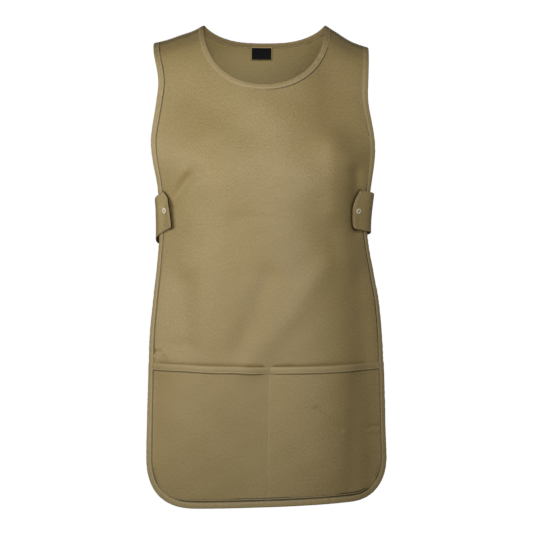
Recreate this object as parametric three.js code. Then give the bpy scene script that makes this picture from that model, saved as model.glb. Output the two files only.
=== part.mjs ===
// A pinafore apron in the form that it has when worn: a front and a back cloth panel that meet at the
// shoulders, folded tape round every edge, a wide pocket sewn down in the middle, and a strap at each
// side that is held to the front by a press stud. The head, arms and body go through open spaces.
// Millimetres, +Z up. The front faces -Y, and left and right are as seen from the front.
// The origin lies midway between the two neck points, on the line of the shoulders.
import * as THREE from "three";

// Cloth and tape
const CLOTH = 1.0; // wall of each panel
const GAP = 0.3; // clearance between neighbouring pieces
const TAPE_GAP = 0.45; // clearance inside the folded tape
const TAPE = 1.0; // wall of the folded tape
const EDGE_TAPE_WIDTH = 10;
const NECK_TAPE_WIDTH = 9.5;
const TAPE_NOSE = 0.9; // half height of the tape's fold at the very edge
const SEAM_GAP = 0.4; // between the panels along the shoulder seam
const HEM_STRIP = 12; // band of each panel that runs straight in from its edge, under the tape
const SEAM_STRIP_DROP = 5; // the same band below the shoulder seam, measured downwards
const STRIP_INSIDE = TAPE + GAP + HEM_STRIP; // from the taped edge to the band's inner side

// Neck
const NECK_HALF = 99;
const FRONT_NECK = { drop: 106, power: 2.15 };
const BACK_NECK = { drop: 22.6, inner: 3.2, outer: 0.85 };
const NECK_BREAK_DEG = 50; // where the neck turns from the strap's side to the scoop

// Hem
const FRONT_HEM = { drop: 777, tilt: 0.033 }; // the hem hangs lower on the left
const BACK_HEM = { drop: 776, tilt: 0 };
const CORNER_DROP = 700; // where the side starts to turn into the hem
const CORNER_POWER = 2.5;
const CORNER_RUN = { left: 78, right: 67 }; // how far along the hem the turn reaches
const BACK_INSET = 3; // the back panel is this much narrower on each side

// Pocket
const POCKET_MOUTH = { drop: 552, sag: 3.8 };
const POCKET_BAND_WIDTH = 11;
const BAND_GAP = 0.4; // between the pocket's cloth and the band's leg
const POCKET_SEAM_X = 5; // the seam that parts the two pockets
const POCKET_BULGE = 10;
const POCKET_FILL_POWER = 0.7; // the bulge fades slowly from the mouth down, then fast at the hem
const POCKET_FLAT_RIM = 14; // stays flat beside the tape
const POCKET_FLAT_SEAM = 4; // and beside the middle seam
const PLY_STEP = CLOTH + GAP; // from one cloth's middle to the next cloth's
const POCKET_SEAM_LIFT = 0.8; // extra height of the pocket's cloth along the middle seam
const POCKET_SEAM_RISE = 0.25; // share of the pocket's height over which that height is reached

// Side tabs and press studs
const TAB_WIDTH = 64;
const TAB_THICK = 1.6;
const TAB_DROP = 307;
const TAB_FALL_DEG = { left: 14, right: 5 }; // the tabs run downwards to the back
const TAB_LEAN = { left: 0.12, right: 0 }; // how much further in the free end lies for each step down
const TAB_LIFT = { stud: 5.6, edge: 5.4, back: 4.6, sewn: 2.6 }; // from the panel's middle
const TAB_BULGE = 5; // of the tab's middle, out from a straight line between the two panels' edges
const TAB_REACH = { left: 29, right: 36 }; // of the free end over the front panel
const TAB_BACK_REACH = 44;
const TAB_STEPS = 14;
const STUD_FROM_END = 9.5;
const STUD = { flange: 4.2, waist: 2.5, flangeThick: 0.7, sides: 16 }; // the hidden part
const STUD_CAP = { ring: 4.75, hole: 2.1, height: 1.4, wall: 0.7, bevel: 0.65 };
const STUD_CLEAR = { cap: 0.5, tab: 0.5, panel: 1.1 }; // under the cap, and above and below the hidden part

// Label
const LABEL_CELLS = { across: 4, down: 3 };
const LABEL = { x: -5, top: 31.2, width: 35, height: 18.5, behind: 2.1 };

// The shoulder line's height at each distance out from the middle. It arches on over the neck, where
// there is no cloth, so that the panels below the neck are smooth.
const SHOULDER = [
  { out: 0, left: 30, right: 30 },
  { out: 45, left: 22, right: 23 },
  { out: 80, left: 9.5, right: 11 },
  { out: 99, left: 0, right: 0 },
  { out: 118, left: -9.5, right: -11.5 },
  { out: 140, left: -17, right: -25.5 },
  { out: 160, left: -24, right: -33.5 },
  { out: 182, left: -29.5, right: -40 },
  { out: 195, left: -32.5, right: -43.5 },
];
const TIP_DROP = { left: 29.5, right: 37 }; // of the shoulders' outer ends

// Half widths of the front outline at each drop below the neck points.
const SIDES = [
  { drop: 0, left: 181, right: 172 },
  { drop: 40, left: 182, right: 171 },
  { drop: 95, left: 172, right: 168.5 },
  { drop: 130, left: 175, right: 168 },
  { drop: 190, left: 183, right: 177.5 },
  { drop: 222, left: 181, right: 178.5 },
  { drop: 270, left: 172.5, right: 172 },
  { drop: 340, left: 170, right: 166.5 },
  { drop: 410, left: 175.5, right: 178 },
  { drop: 455, left: 180, right: 186 },
  { drop: 505, left: 184.5, right: 190.5 },
  { drop: 570, left: 186, right: 193 },
  { drop: 660, left: 188, right: 195 },
  { drop: 720, left: 188.5, right: 197 },
  { drop: 790, left: 188.5, right: 197 },
];

// How far each panel stands out from the plane of the shoulders, at each drop below the shoulder line:
// in the middle, and at its two side edges.
const FRONT_DEPTHS = [
  { drop: 0, middle: 0, left: 0, right: 0 },
  { drop: 5, middle: 12.5, left: 11, right: 11 },
  { drop: 10, middle: 24, left: 20.5, right: 20.5 },
  { drop: 30, middle: 48, left: 39, right: 37 },
  { drop: 60, middle: 65, left: 49, right: 47 },
  { drop: 100, middle: 80, left: 54, right: 52 },
  { drop: 150, middle: 97, left: 58, right: 56 },
  { drop: 200, middle: 113, left: 60, right: 57 },
  { drop: 260, middle: 126, left: 48, right: 46 },
  { drop: 310, middle: 127, left: 36, right: 33 },
  { drop: 350, middle: 125, left: 33, right: 30 },
  { drop: 410, middle: 122, left: 40, right: 33 },
  { drop: 480, middle: 120, left: 54, right: 40 },
  { drop: 560, middle: 120, left: 66, right: 47 },
  { drop: 660, middle: 122, left: 82, right: 54 },
  { drop: 800, middle: 124, left: 91, right: 58 },
];
const BACK_DEPTHS = [
  { drop: 0, middle: 0, left: 0, right: 0 },
  { drop: 6, middle: 8, left: 7.2, right: 7.2 },
  { drop: 12, middle: 16, left: 14, right: 14 },
  { drop: 30, middle: 36, left: 30, right: 29 },
  { drop: 50, middle: 56, left: 42, right: 40 },
  { drop: 75, middle: 72, left: 48, right: 46 },
  { drop: 110, middle: 86, left: 52, right: 50 },
  { drop: 160, middle: 97, left: 50, right: 48 },
  { drop: 230, middle: 96, left: 38, right: 37 },
  { drop: 310, middle: 89, left: 26, right: 26 },
  { drop: 350, middle: 88, left: 24, right: 24 },
  { drop: 420, middle: 92, left: 30, right: 30 },
  { drop: 520, middle: 103, left: 46, right: 46 },
  { drop: 640, middle: 109, left: 60, right: 60 },
  { drop: 800, middle: 110, left: 68, right: 68 },
];
const SECTION_POWER = 2.4; // flat across the middle, turning back towards the sides

// Soft folds of the front, each along a line from one point to the other, given as places across and
// drops. A fold stands out by its height, or is a hollow where that is negative.
const FRONT_FOLDS = [
  { name: "left shoulder hollow", x0: -125, drop0: 125, x1: -25, drop1: 182, wide: 30, height: -5 },
  { name: "right shoulder hollow", x0: 30, drop0: 128, x1: 88, drop1: 186, wide: 24, height: -4 },
  { name: "left bust", x0: -112, drop0: 225, x1: -84, drop1: 250, wide: 48, height: 7 },
  { name: "right bust", x0: 84, drop0: 250, x1: 106, drop1: 225, wide: 44, height: 7 },
  { name: "left tab pull", x0: -158, drop0: 292, x1: -106, drop1: 246, wide: 11, height: -4 },
  { name: "right tab pull", x0: 132, drop0: 240, x1: 140, drop1: 326, wide: 13, height: -6 },
  { name: "waist ridge", x0: 100, drop0: 395, x1: -20, drop1: 550, wide: 20, height: 4 },
  { name: "waist hollow", x0: 4, drop0: 415, x1: -42, drop1: 530, wide: 18, height: -4 },
  { name: "left hip hollow", x0: -150, drop0: 392, x1: -126, drop1: 490, wide: 18, height: -5 },
  { name: "right hang hollow", x0: 122, drop0: 400, x1: 136, drop1: 770, wide: 19, height: -6 },
  { name: "right hang ridge", x0: 158, drop0: 440, x1: 166, drop1: 680, wide: 14, height: 3 },
];

// How the tab's free end is cut: distance up from its lower edge, and how far it is cut back there.
const TAB_END = [
  { up: 0, back: 2 },
  { up: 5, back: 0 },
  { up: 34, back: 0 },
  { up: 50, back: 4 },
  { up: 64, back: 11 },
];

// Numbers of steps along each stretch of the panels' rims
const STEPS = { seam: 5, neckSide: 5, scoop: 10, toMouth: 11, toCorner: 3, corner: 4 };
const BACK_STEPS = { neck: 12, side: 17 };
const STRAP_SPACING = 1.5; // steps are closer together near the shoulder line
const BACK_SPACING = 1.4;
const ARMHOLE_BREAK = 125; // drop at which the straps run into the body of the front

const KHAKI = new THREE.MeshStandardMaterial({ color: 0x9a875c, roughness: 0.85, metalness: 0 });
const KHAKI_TAPE = new THREE.MeshStandardMaterial({ color: 0xa08d63, roughness: 0.8, metalness: 0 });
const BLACK_SATIN = new THREE.MeshStandardMaterial({ color: 0x15171c, roughness: 0.55, metalness: 0 });
const NICKEL = new THREE.MeshStandardMaterial({ color: 0xc9c4b6, roughness: 0.3, metalness: 1 });

// A smooth curve through one column of a table, against another column that rises.
function through(rows, along, column) {
  const at = rows.map((row) => row[along]);
  const value = rows.map((row) => row[column]);
  const slope = value.map((_, i) => {
    const before = Math.max(i - 1, 0);
    const after = Math.min(i + 1, at.length - 1);
    return (value[after] - value[before]) / (at[after] - at[before]);
  });
  return (t) => {
    const clamped = THREE.MathUtils.clamp(t, at[0], at[at.length - 1]);
    const found = at.findIndex((knot) => knot > clamped);
    const i = found < 0 ? at.length - 2 : found - 1;
    const span = at[i + 1] - at[i];
    const s = (clamped - at[i]) / span;
    const rest = 1 - s;
    return (
      value[i] * rest * rest * (1 + 2 * s) +
      value[i + 1] * s * s * (3 - 2 * s) +
      span * s * rest * (slope[i] * rest - slope[i + 1] * s)
    );
  };
}

const sideOf = (x) => (x < 0 ? "left" : "right");
const signOf = (side) => (side === "left" ? -1 : 1);
const bothSides = (rows, along) => ({
  left: through(rows, along, "left"),
  right: through(rows, along, "right"),
});

const shoulderHeight = bothSides(SHOULDER, "out");
const halfWidth = bothSides(SIDES, "drop");
const ridge = (x) => shoulderHeight[sideOf(x)](Math.abs(x));

// A soft fold's height at a point: a smooth bump across its line that fades out past both ends.
function foldHeight(fold, x, drop) {
  const runX = fold.x1 - fold.x0;
  const runDrop = fold.drop1 - fold.drop0;
  const share = ((x - fold.x0) * runX + (drop - fold.drop0) * runDrop) / (runX ** 2 + runDrop ** 2);
  const nearest = THREE.MathUtils.clamp(share, 0, 1);
  const away = Math.hypot(x - fold.x0 - nearest * runX, drop - fold.drop0 - nearest * runDrop);
  return fold.height * Math.exp(-((away / fold.wide) ** 2));
}

// One panel's middle surface: its depth, points and outward normals at places across and heights.
class Face {
  constructor(facing, depths, folds, inset) {
    this.facing = facing;
    this.middle = through(depths, "drop", "middle");
    this.edge = bothSides(depths, "drop");
    this.folds = folds;
    this.inset = inset;
  }

  half(side, z) {
    return halfWidth[side](-z) - this.inset;
  }

  depth(x, z) {
    const side = sideOf(x);
    const drop = Math.max(0, ridge(x) - z);
    const across = Math.abs(x) / this.half(side, z);
    const edge = this.edge[side](drop);
    const plain = edge + (this.middle(drop) - edge) * (1 - across ** SECTION_POWER);
    return this.folds.reduce((sum, fold) => sum + foldHeight(fold, x, -z), plain);
  }

  point(x, z) {
    return new THREE.Vector3(x, this.facing * this.depth(x, z), z);
  }

  normal(x, z) {
    const step = 0.5;
    const slopeX = (this.depth(x + step, z) - this.depth(x - step, z)) / (2 * step);
    const slopeZ = (this.depth(x, z + step) - this.depth(x, z - step)) / (2 * step);
    return new THREE.Vector3(-slopeX, this.facing, -slopeZ).normalize();
  }

  vertex(x, z) {
    return { p: this.point(x, z), n: this.normal(x, z) };
  }
}

const FRONT = new Face(-1, FRONT_DEPTHS, FRONT_FOLDS, 0);
const BACK = new Face(1, BACK_DEPTHS, [], BACK_INSET);

// Outlines, as places across and heights

const powerCos = (angle, power) => Math.sign(Math.cos(angle)) * Math.abs(Math.cos(angle)) ** (2 / power);
const powerSin = (angle, power) => Math.abs(Math.sin(angle)) ** (2 / power);

const frontNeckAt = (angle) => [
  -NECK_HALF * powerCos(angle, FRONT_NECK.power),
  -FRONT_NECK.drop * powerSin(angle, FRONT_NECK.power),
];
const backNeckAt = (angle) => {
  const x = -NECK_HALF * Math.cos(angle);
  const share = Math.abs(x / NECK_HALF) ** BACK_NECK.inner;
  return [x, -BACK_NECK.drop * (1 - share) ** BACK_NECK.outer];
};
const sideAt = (face, side) => (z) => [signOf(side) * face.half(side, z), z];
const hemAt = (hem) => (x) => [x, -hem.drop + hem.tilt * x];

// The turn from a side to the hem, from 0 at the side to a right angle at the hem.
function cornerAt(face, hem, side) {
  const run = CORNER_RUN[side];
  const sign = signOf(side);
  const startX = face.half(side, -CORNER_DROP);
  const hemX = sign * (startX - run);
  const fall = -CORNER_DROP - hemAt(hem)(hemX)[1];
  return (angle) => [
    hemX + sign * run * powerCos(angle, CORNER_POWER),
    -CORNER_DROP - fall * powerSin(angle, CORNER_POWER),
  ];
}

// A station on a taped edge: where the edge is, the way in along the cloth, the way out of it, and the
// cloth's own rim and the inner side of its straight strip.
function tapedStation(face, outline, at, inwards) {
  const step = 1e-3;
  const [x, z] = outline(at);
  const [aheadX, aheadZ] = outline(at + step);
  const [behindX, behindZ] = outline(at - step);
  const along = face.point(aheadX, aheadZ).sub(face.point(behindX, behindZ)).normalize();
  const n = face.normal(x, z);
  const b = new THREE.Vector3().crossVectors(n, along).normalize();
  if (b.x * inwards[0] + b.z * inwards[1] < 0) b.negate();
  return withRim({ edge: face.point(x, z), b, n });
}

function withRim(station) {
  const rim = station.edge.clone().addScaledVector(station.b, TAPE + GAP);
  const inner = rim.clone().addScaledVector(station.b, HEM_STRIP);
  return { ...station, rim: { p: rim, n: station.n }, inner: { p: inner, n: station.n } };
}

// The way along the shoulder line, towards +X, and the way up from it.
function ridgeFrame(x) {
  const step = 0.5;
  const along = new THREE.Vector3(2 * step, 0, ridge(x + step) - ridge(x - step)).normalize();
  return { along, up: new THREE.Vector3(-along.z, 0, along.x) };
}

// A station where a taped edge crosses the shoulder line.
function crossingStation(x, inwardSign) {
  const { along, up } = ridgeFrame(x);
  return { edge: new THREE.Vector3(x, 0, ridge(x)), b: along.multiplyScalar(inwardSign), n: up };
}

// A panel's own rim on the shoulder seam
function seamStation(face, x) {
  const rim = new THREE.Vector3(x, (face.facing * SEAM_GAP) / 2, ridge(x));
  return { rim: { p: rim, n: ridgeFrame(x).up }, inner: face.vertex(x, ridge(x) - SEAM_STRIP_DROP) };
}

// The end of that rim, under the tape: its strip lies in one plane with the strip of the taped edge.
function seamEnd(face, crossing, neighbour) {
  const { edge, b, n, order } = crossing;
  const rim = edge.clone().addScaledVector(b, TAPE + GAP);
  rim.y = (face.facing * SEAM_GAP) / 2;
  const inner = edge.clone().addScaledVector(b, STRIP_INSIDE).lerp(neighbour.inner.p, 0.5);
  return { rim: { p: rim, n }, inner: { p: inner, n: n.clone().add(neighbour.n).normalize() }, order };
}

const range = (count, make) => Array.from({ length: count }, (_, i) => make(i));
const spaced = (from, to, count) => range(count, (i) => from + ((to - from) * (i + 1)) / count);
const spacedFromRidge = (from, to, count, power) =>
  range(count, (i) => from + (to - from) * ((i + 1) / count) ** power);

// Stations down one side of a panel, from below the shoulder line to the middle of the hem's corner.
function sideStations(face, hem, side, heights) {
  const inwards = [-signOf(side), 0];
  const down = heights.map((z) => tapedStation(face, sideAt(face, side), z, inwards));
  const corner = cornerAt(face, hem, side);
  const turn = range(STEPS.corner, (i) => {
    const angle = ((i + 1) / STEPS.corner) * (Math.PI / 4);
    return tapedStation(face, corner, angle, [-signOf(side), 1]);
  });
  return [...down, ...turn];
}

// Stations along the hem from the middle of the left corner to the middle of the right one, without
// those two, at equal steps along the cloth's edge.
function hemStations(face, hem, count) {
  const turn = (side) => {
    const corner = cornerAt(face, hem, side);
    return range(STEPS.corner + 1, (i) => corner((Math.PI / 4) * (1 + i / STEPS.corner)));
  };
  const left = turn("left");
  const right = turn("right").reverse();
  const straight = spaced(left.at(-1)[0], right[0][0], count).slice(0, -1).map(hemAt(hem));
  const places = [...left, ...straight, ...right].map((place) => new THREE.Vector2(...place));
  const outline = new THREE.SplineCurve(places);
  const at = (share) => outline.getPointAt(share).toArray();
  return range(count - 1, (i) => tapedStation(face, at, (i + 1) / count, [0, 1]));
}

// A patch of cloth blended between four rows of vertices that share their corners.
function patch(vertexAt, top, bottom, left, right) {
  const across = top.length - 1;
  const down = left.length - 1;
  const corners = [top[0], top[across], bottom[0], bottom[across]].map((vertex) => vertex.p);
  return range(down + 1, (j) =>
    range(across + 1, (i) => {
      if (j === 0) return top[i];
      if (j === down) return bottom[i];
      if (i === 0) return left[j];
      if (i === across) return right[j];
      const u = i / across;
      const v = j / down;
      const blend = (axis) =>
        (1 - v) * top[i].p[axis] +
        v * bottom[i].p[axis] +
        (1 - u) * left[j].p[axis] +
        u * right[j].p[axis] -
        (1 - u) * (1 - v) * corners[0][axis] -
        u * (1 - v) * corners[1][axis] -
        (1 - u) * v * corners[2][axis] -
        u * v * corners[3][axis];
      return vertexAt(blend("x"), blend("z"));
    }),
  );
}

const cells = (rows) =>
  rows.slice(1).flatMap((row, j) =>
    row.slice(1).map((vertex, i) => [rows[j][i], row[i], vertex, rows[j][i + 1]]),
  );

// The straight strip between a panel's rim and its inner rows, round a closed run of stations. Its cells
// are parted from the earlier station's rim, as the tape's are, so that the two stay a gap apart.
const strip = (stations) =>
  stations.map((station, k) => {
    const next = stations[(k + 1) % stations.length];
    if (station.inner === next.inner) return [station.rim, station.inner, next.rim];
    return station.order > next.order
      ? [station.inner, next.inner, next.rim, station.rim]
      : [station.rim, station.inner, next.inner, next.rim];
  });

function solid(points, triangles) {
  const geometry = new THREE.BufferGeometry().setFromPoints(points);
  const volume = triangles.reduce(
    (sum, [a, b, c]) => sum + points[a].dot(points[b].clone().cross(points[c])),
    0,
  );
  geometry.setIndex(triangles.flatMap(([a, b, c]) => (volume < 0 ? [a, c, b] : [a, b, c])));
  geometry.computeVertexNormals();
  return geometry;
}

// Cloth of some thickness over a sheet of cells, closed round its free edges.
function thicken(sheet, thickness) {
  const vertices = [...new Set(sheet.flat())];
  const number = new Map(vertices.map((vertex, i) => [vertex, i]));
  const total = vertices.length;
  const offset = (share) => (vertex) => vertex.p.clone().addScaledVector(vertex.n, share * thickness);
  const points = [...vertices.map(offset(0.5)), ...vertices.map(offset(-0.5))];
  const triangles = [];
  const edges = new Set();
  const edgeName = (a, b) => a * total + b;
  for (const cell of sheet) {
    const corners = cell.map((vertex) => number.get(vertex));
    corners.forEach((corner, i) => edges.add(edgeName(corner, corners[(i + 1) % corners.length])));
    for (let i = 2; i < corners.length; i += 1) {
      const [a, b, c] = [corners[0], corners[i - 1], corners[i]];
      triangles.push([a, b, c], [a + total, c + total, b + total]);
    }
  }
  for (const edge of edges) {
    const from = Math.floor(edge / total);
    const to = edge % total;
    if (edges.has(edgeName(to, from))) continue;
    triangles.push([to, from, from + total], [to, from + total, to + total]);
  }
  return solid(points, triangles);
}

// A closed section carried along stations. Each section is a list of distances in and out of the cloth.
function sweep(stations, sectionAt, closed) {
  const sections = stations.map((station) => sectionAt(station));
  const size = sections[0].length;
  const points = stations.flatMap((station, k) =>
    sections[k].map(([into, out]) =>
      station.edge.clone().addScaledVector(station.b, into).addScaledVector(station.n, out),
    ),
  );
  const triangles = [];
  const last = closed ? stations.length : stations.length - 1;
  for (let k = 0; k < last; k += 1) {
    const following = (k + 1) % stations.length;
    const here = k * size;
    const next = following * size;
    const rising = stations[k].order <= stations[following].order;
    for (let m = 0; m < size; m += 1) {
      const after = (m + 1) % size;
      const outwards = sections[k][m][0] <= sections[k][after][0];
      if (outwards === rising) {
        triangles.push([here + m, here + after, next + after], [here + m, next + after, next + m]);
      } else {
        triangles.push([here + m, here + after, next + m], [here + after, next + after, next + m]);
      }
    }
  }
  if (!closed) {
    const outline = sections[0].map(([into, out]) => new THREE.Vector2(into, out));
    const end = (stations.length - 1) * size;
    for (const [a, b, c] of THREE.ShapeUtils.triangulateShape(outline, [])) {
      triangles.push([a, c, b], [end + a, end + b, end + c]);
    }
  }
  return solid(points, triangles);
}

// Tape folded over one or more plies: an open U whose outer leg clears any extra ply.
function foldedTape(width, extra) {
  const slot = CLOTH / 2 + TAPE_GAP;
  const leg = slot + TAPE;
  return [
    [width, leg + extra],
    [TAPE, leg + extra],
    [0, TAPE_NOSE + extra],
    [0, -TAPE_NOSE],
    [TAPE, -leg],
    [width, -leg],
    [width, -slot],
    [TAPE, -slot],
    [TAPE, slot + extra],
    [width, slot + extra],
  ];
}

// Rims of the two panels

const tipX = (side) => signOf(side) * halfWidth[side](TIP_DROP[side]);
const mouthHeight = (x) => {
  const share = Math.min(1, Math.abs(x) / halfWidth[sideOf(x)](POCKET_MOUTH.drop));
  return -POCKET_MOUTH.drop - POCKET_MOUTH.sag * (1 - share ** 2);
};

const backwards = (list) => [...list].reverse();
const innerOf = (stations) => stations.map((station) => station.inner);

const tipCrossing = {
  left: crossingStation(tipX("left"), 1),
  right: crossingStation(tipX("right"), -1),
};
const neckCrossing = {
  left: crossingStation(-NECK_HALF, -1),
  right: crossingStation(NECK_HALF, 1),
};

function frontRim(side) {
  const strap = spacedFromRidge(ridge(tipX(side)), -ARMHOLE_BREAK, STEPS.neckSide, STRAP_SPACING);
  const toMouth = spaced(-ARMHOLE_BREAK, -POCKET_MOUTH.drop, STEPS.toMouth);
  const toCorner = spaced(-POCKET_MOUTH.drop, -CORNER_DROP, STEPS.toCorner);
  const all = sideStations(FRONT, FRONT_HEM, side, [...strap, ...toMouth, ...toCorner]);
  return { strap: all.slice(0, strap.length), body: all.slice(strap.length) };
}

function backRim(side) {
  const heights = spacedFromRidge(ridge(tipX(side)), -CORNER_DROP, BACK_STEPS.side, BACK_SPACING);
  return sideStations(BACK, BACK_HEM, side, heights);
}

const frontSide = { left: frontRim("left"), right: frontRim("right") };
const backSide = { left: backRim("left"), right: backRim("right") };
const frontHem = hemStations(FRONT, FRONT_HEM, 2 * STEPS.seam + STEPS.scoop);
const backHem = hemStations(BACK, BACK_HEM, 2 * STEPS.seam + BACK_STEPS.neck);

const neckBreak = THREE.MathUtils.degToRad(NECK_BREAK_DEG);
const neckSideAngles = spacedFromRidge(0, neckBreak, STEPS.neckSide, STRAP_SPACING);
const frontNeckAngles = [
  ...neckSideAngles,
  ...spaced(neckBreak, Math.PI - neckBreak, STEPS.scoop),
  ...backwards(neckSideAngles.slice(0, -1)).map((angle) => Math.PI - angle),
];
const backNeckAngles = spaced(0, Math.PI, BACK_STEPS.neck).slice(0, -1);
const frontNeck = frontNeckAngles.map((angle) => tapedStation(FRONT, frontNeckAt, angle, [0, -1]));
const backNeck = backNeckAngles.map((angle) => tapedStation(BACK, backNeckAt, angle, [0, -1]));

// The two taped edges, each a closed run of stations numbered in its own order.
const neckLoop = [neckCrossing.left, ...frontNeck, neckCrossing.right, ...backwards(backNeck)];
const edgeLoop = [
  tipCrossing.left,
  ...frontSide.left.strap,
  ...frontSide.left.body,
  ...frontHem,
  ...backwards(frontSide.right.body),
  ...backwards(frontSide.right.strap),
  tipCrossing.right,
  ...backSide.right,
  ...backwards(backHem),
  ...backwards(backSide.left),
];
for (const loop of [neckLoop, edgeLoop]) {
  loop.forEach((station, k) => {
    station.order = k;
  });
}

// A panel's rim along one shoulder seam, from the tip of the shoulder to the neck.
function seamRow(face, side, sideStation, neckStation) {
  const between = spaced(tipX(side), signOf(side) * NECK_HALF, STEPS.seam).slice(0, -1);
  return [
    seamEnd(face, tipCrossing[side], sideStation),
    ...between.map((x) => seamStation(face, x)),
    seamEnd(face, neckCrossing[side], neckStation),
  ];
}

function frontPanel() {
  const { neckSide } = STEPS;
  const leftSeam = seamRow(FRONT, "left", frontSide.left.strap[0], frontNeck[0]);
  const rightSeam = backwards(seamRow(FRONT, "right", frontSide.right.strap[0], frontNeck.at(-1)));
  const leftNeckSide = frontNeck.slice(0, neckSide);
  const scoop = frontNeck.slice(neckSide - 1, frontNeck.length - neckSide + 1);
  const rightNeckSide = backwards(frontNeck.slice(frontNeck.length - neckSide));
  const vertexAt = (x, z) => FRONT.vertex(x, z);

  // The lower edge of each strap runs from the armhole to the neck.
  const join = (from, to) =>
    range(STEPS.seam + 1, (i) => {
      if (i === 0) return from;
      if (i === STEPS.seam) return to;
      const place = from.p.clone().lerp(to.p, i / STEPS.seam);
      return vertexAt(place.x, place.z);
    });
  const leftArmpit = frontSide.left.strap.at(-1);
  const rightArmpit = frontSide.right.strap.at(-1);
  const leftJoin = join(leftArmpit.inner, scoop[0].inner);
  const rightJoin = join(scoop.at(-1).inner, rightArmpit.inner);

  const leftStrap = patch(
    vertexAt,
    innerOf(leftSeam),
    leftJoin,
    innerOf([leftSeam[0], ...frontSide.left.strap]),
    innerOf([leftSeam.at(-1), ...leftNeckSide]),
  );
  const rightStrap = patch(
    vertexAt,
    innerOf(rightSeam),
    rightJoin,
    innerOf([rightSeam[0], ...rightNeckSide]),
    innerOf([rightSeam.at(-1), ...frontSide.right.strap]),
  );
  const left = [leftArmpit, ...frontSide.left.body];
  const right = [rightArmpit, ...frontSide.right.body];
  const body = patch(
    vertexAt,
    [...leftJoin, ...innerOf(scoop).slice(1, -1), ...rightJoin],
    innerOf([left.at(-1), ...frontHem, right.at(-1)]),
    innerOf(left),
    innerOf(right),
  );
  const round = [
    ...leftSeam,
    ...frontNeck,
    ...rightSeam,
    ...frontSide.right.strap,
    ...frontSide.right.body,
    ...backwards(frontHem),
    ...backwards(frontSide.left.body),
    ...backwards(frontSide.left.strap),
  ];
  return thicken([...cells(leftStrap), ...cells(rightStrap), ...cells(body), ...strip(round)], CLOTH);
}

function backPanel() {
  const leftSeam = seamRow(BACK, "left", backSide.left[0], backNeck[0]);
  const rightSeam = backwards(seamRow(BACK, "right", backSide.right[0], backNeck.at(-1)));
  const top = [...leftSeam, ...backNeck, ...rightSeam];
  const left = [leftSeam[0], ...backSide.left];
  const right = [rightSeam.at(-1), ...backSide.right];
  const body = patch(
    (x, z) => BACK.vertex(x, z),
    innerOf(top),
    innerOf([left.at(-1), ...backHem, right.at(-1)]),
    innerOf(left),
    innerOf(right),
  );
  const round = [...top, ...backSide.right, ...backwards(backHem), ...backwards(backSide.left)];
  return thicken([...cells(body), ...strip(round)], CLOTH);
}

const neckBinding = () => sweep(neckLoop, () => foldedTape(NECK_TAPE_WIDTH, 0), true);

// The stations of the front's edge that the pocket reaches, from its mouth down
const pocketRows = STEPS.toCorner + STEPS.corner + 1;
const pocketSide = {
  left: frontSide.left.body.slice(-pocketRows),
  right: frontSide.right.body.slice(-pocketRows),
};

function edgeBinding() {
  const twoPly = new Set([...pocketSide.left, ...frontHem, ...pocketSide.right]);
  const section = (station) => foldedTape(EDGE_TAPE_WIDTH, twoPly.has(station) ? PLY_STEP : 0);
  return sweep(edgeLoop, section, true);
}

// The pocket lies on the front, a ply out, and each half stands open a little towards its mouth.
function pocketLift(x, z) {
  const side = sideOf(x - POCKET_SEAM_X);
  const rim = signOf(side) * (halfWidth[side](-z) - POCKET_FLAT_RIM);
  const seam = POCKET_SEAM_X + signOf(side) * POCKET_FLAT_SEAM;
  const across = THREE.MathUtils.clamp((x - seam) / (rim - seam), 0, 1);
  const floor = hemAt(FRONT_HEM)(x)[1] + POCKET_FLAT_RIM;
  const up = THREE.MathUtils.clamp((z - floor) / (mouthHeight(x) - floor), 0, 1);
  const sewn = POCKET_SEAM_LIFT * Math.cos((Math.PI / 2) * across) * Math.min(1, up / POCKET_SEAM_RISE);
  return PLY_STEP + sewn + POCKET_BULGE * Math.sin(Math.PI * across) * up ** POCKET_FILL_POWER;
}

const pocketPoint = (x, z) => FRONT.point(x, z).addScaledVector(FRONT.normal(x, z), pocketLift(x, z));

function pocketVertex(x, z) {
  const step = 1;
  const along = pocketPoint(x + step, z).sub(pocketPoint(x - step, z));
  const up = pocketPoint(x, z + step).sub(pocketPoint(x, z - step));
  return { p: pocketPoint(x, z), n: along.cross(up).normalize() };
}

const raised = ({ edge, b, n, rim, inner, order }) => {
  const lift = (point) => point.clone().addScaledVector(n, PLY_STEP);
  return { edge: lift(edge), b, n, rim: { p: lift(rim.p), n }, inner: { p: lift(inner.p), n }, order };
};

// The pocket's mouth, where the band's fold lies on the mouth line with the cloth's rim just below it.
function mouthStation(x) {
  const { p, n } = pocketVertex(x, mouthHeight(x));
  const below = pocketPoint(x, mouthHeight(x) - HEM_STRIP);
  const b = below.sub(p).projectOnPlane(n).normalize();
  return withRim({ edge: p, b, n });
}

// The mouth's end at one side, where it runs into the straight strip under the edge tape: as far along
// the strip as the given distance in from the edge.
function mouthEnd(stations, into) {
  const [first, second] = stations;
  const at = (station) => station.edge.clone().addScaledVector(station.b, into);
  return withRim({ edge: at(first), b: at(second).sub(at(first)).normalize(), n: first.n });
}

const pocketEdge = {
  left: pocketSide.left.map(raised),
  right: pocketSide.right.map(raised),
  hem: frontHem.map(raised),
};

// Stations along the mouth, between the inner sides of the two side strips
const mouthLeft = mouthEnd(pocketEdge.left, STRIP_INSIDE);
const mouthRight = mouthEnd(pocketEdge.right, STRIP_INSIDE);
const mouthPlaces = spaced(mouthLeft.edge.x, mouthRight.edge.x, frontHem.length + 1).slice(0, -1);
const mouth = [mouthLeft, ...mouthPlaces.map((x) => mouthStation(x)), mouthRight];
const bandStations = [
  mouthEnd(pocketEdge.left, EDGE_TAPE_WIDTH + TAPE_GAP),
  ...mouth,
  mouthEnd(pocketEdge.right, EDGE_TAPE_WIDTH + TAPE_GAP),
];
bandStations.forEach((station, k) => {
  station.order = k;
});

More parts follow.
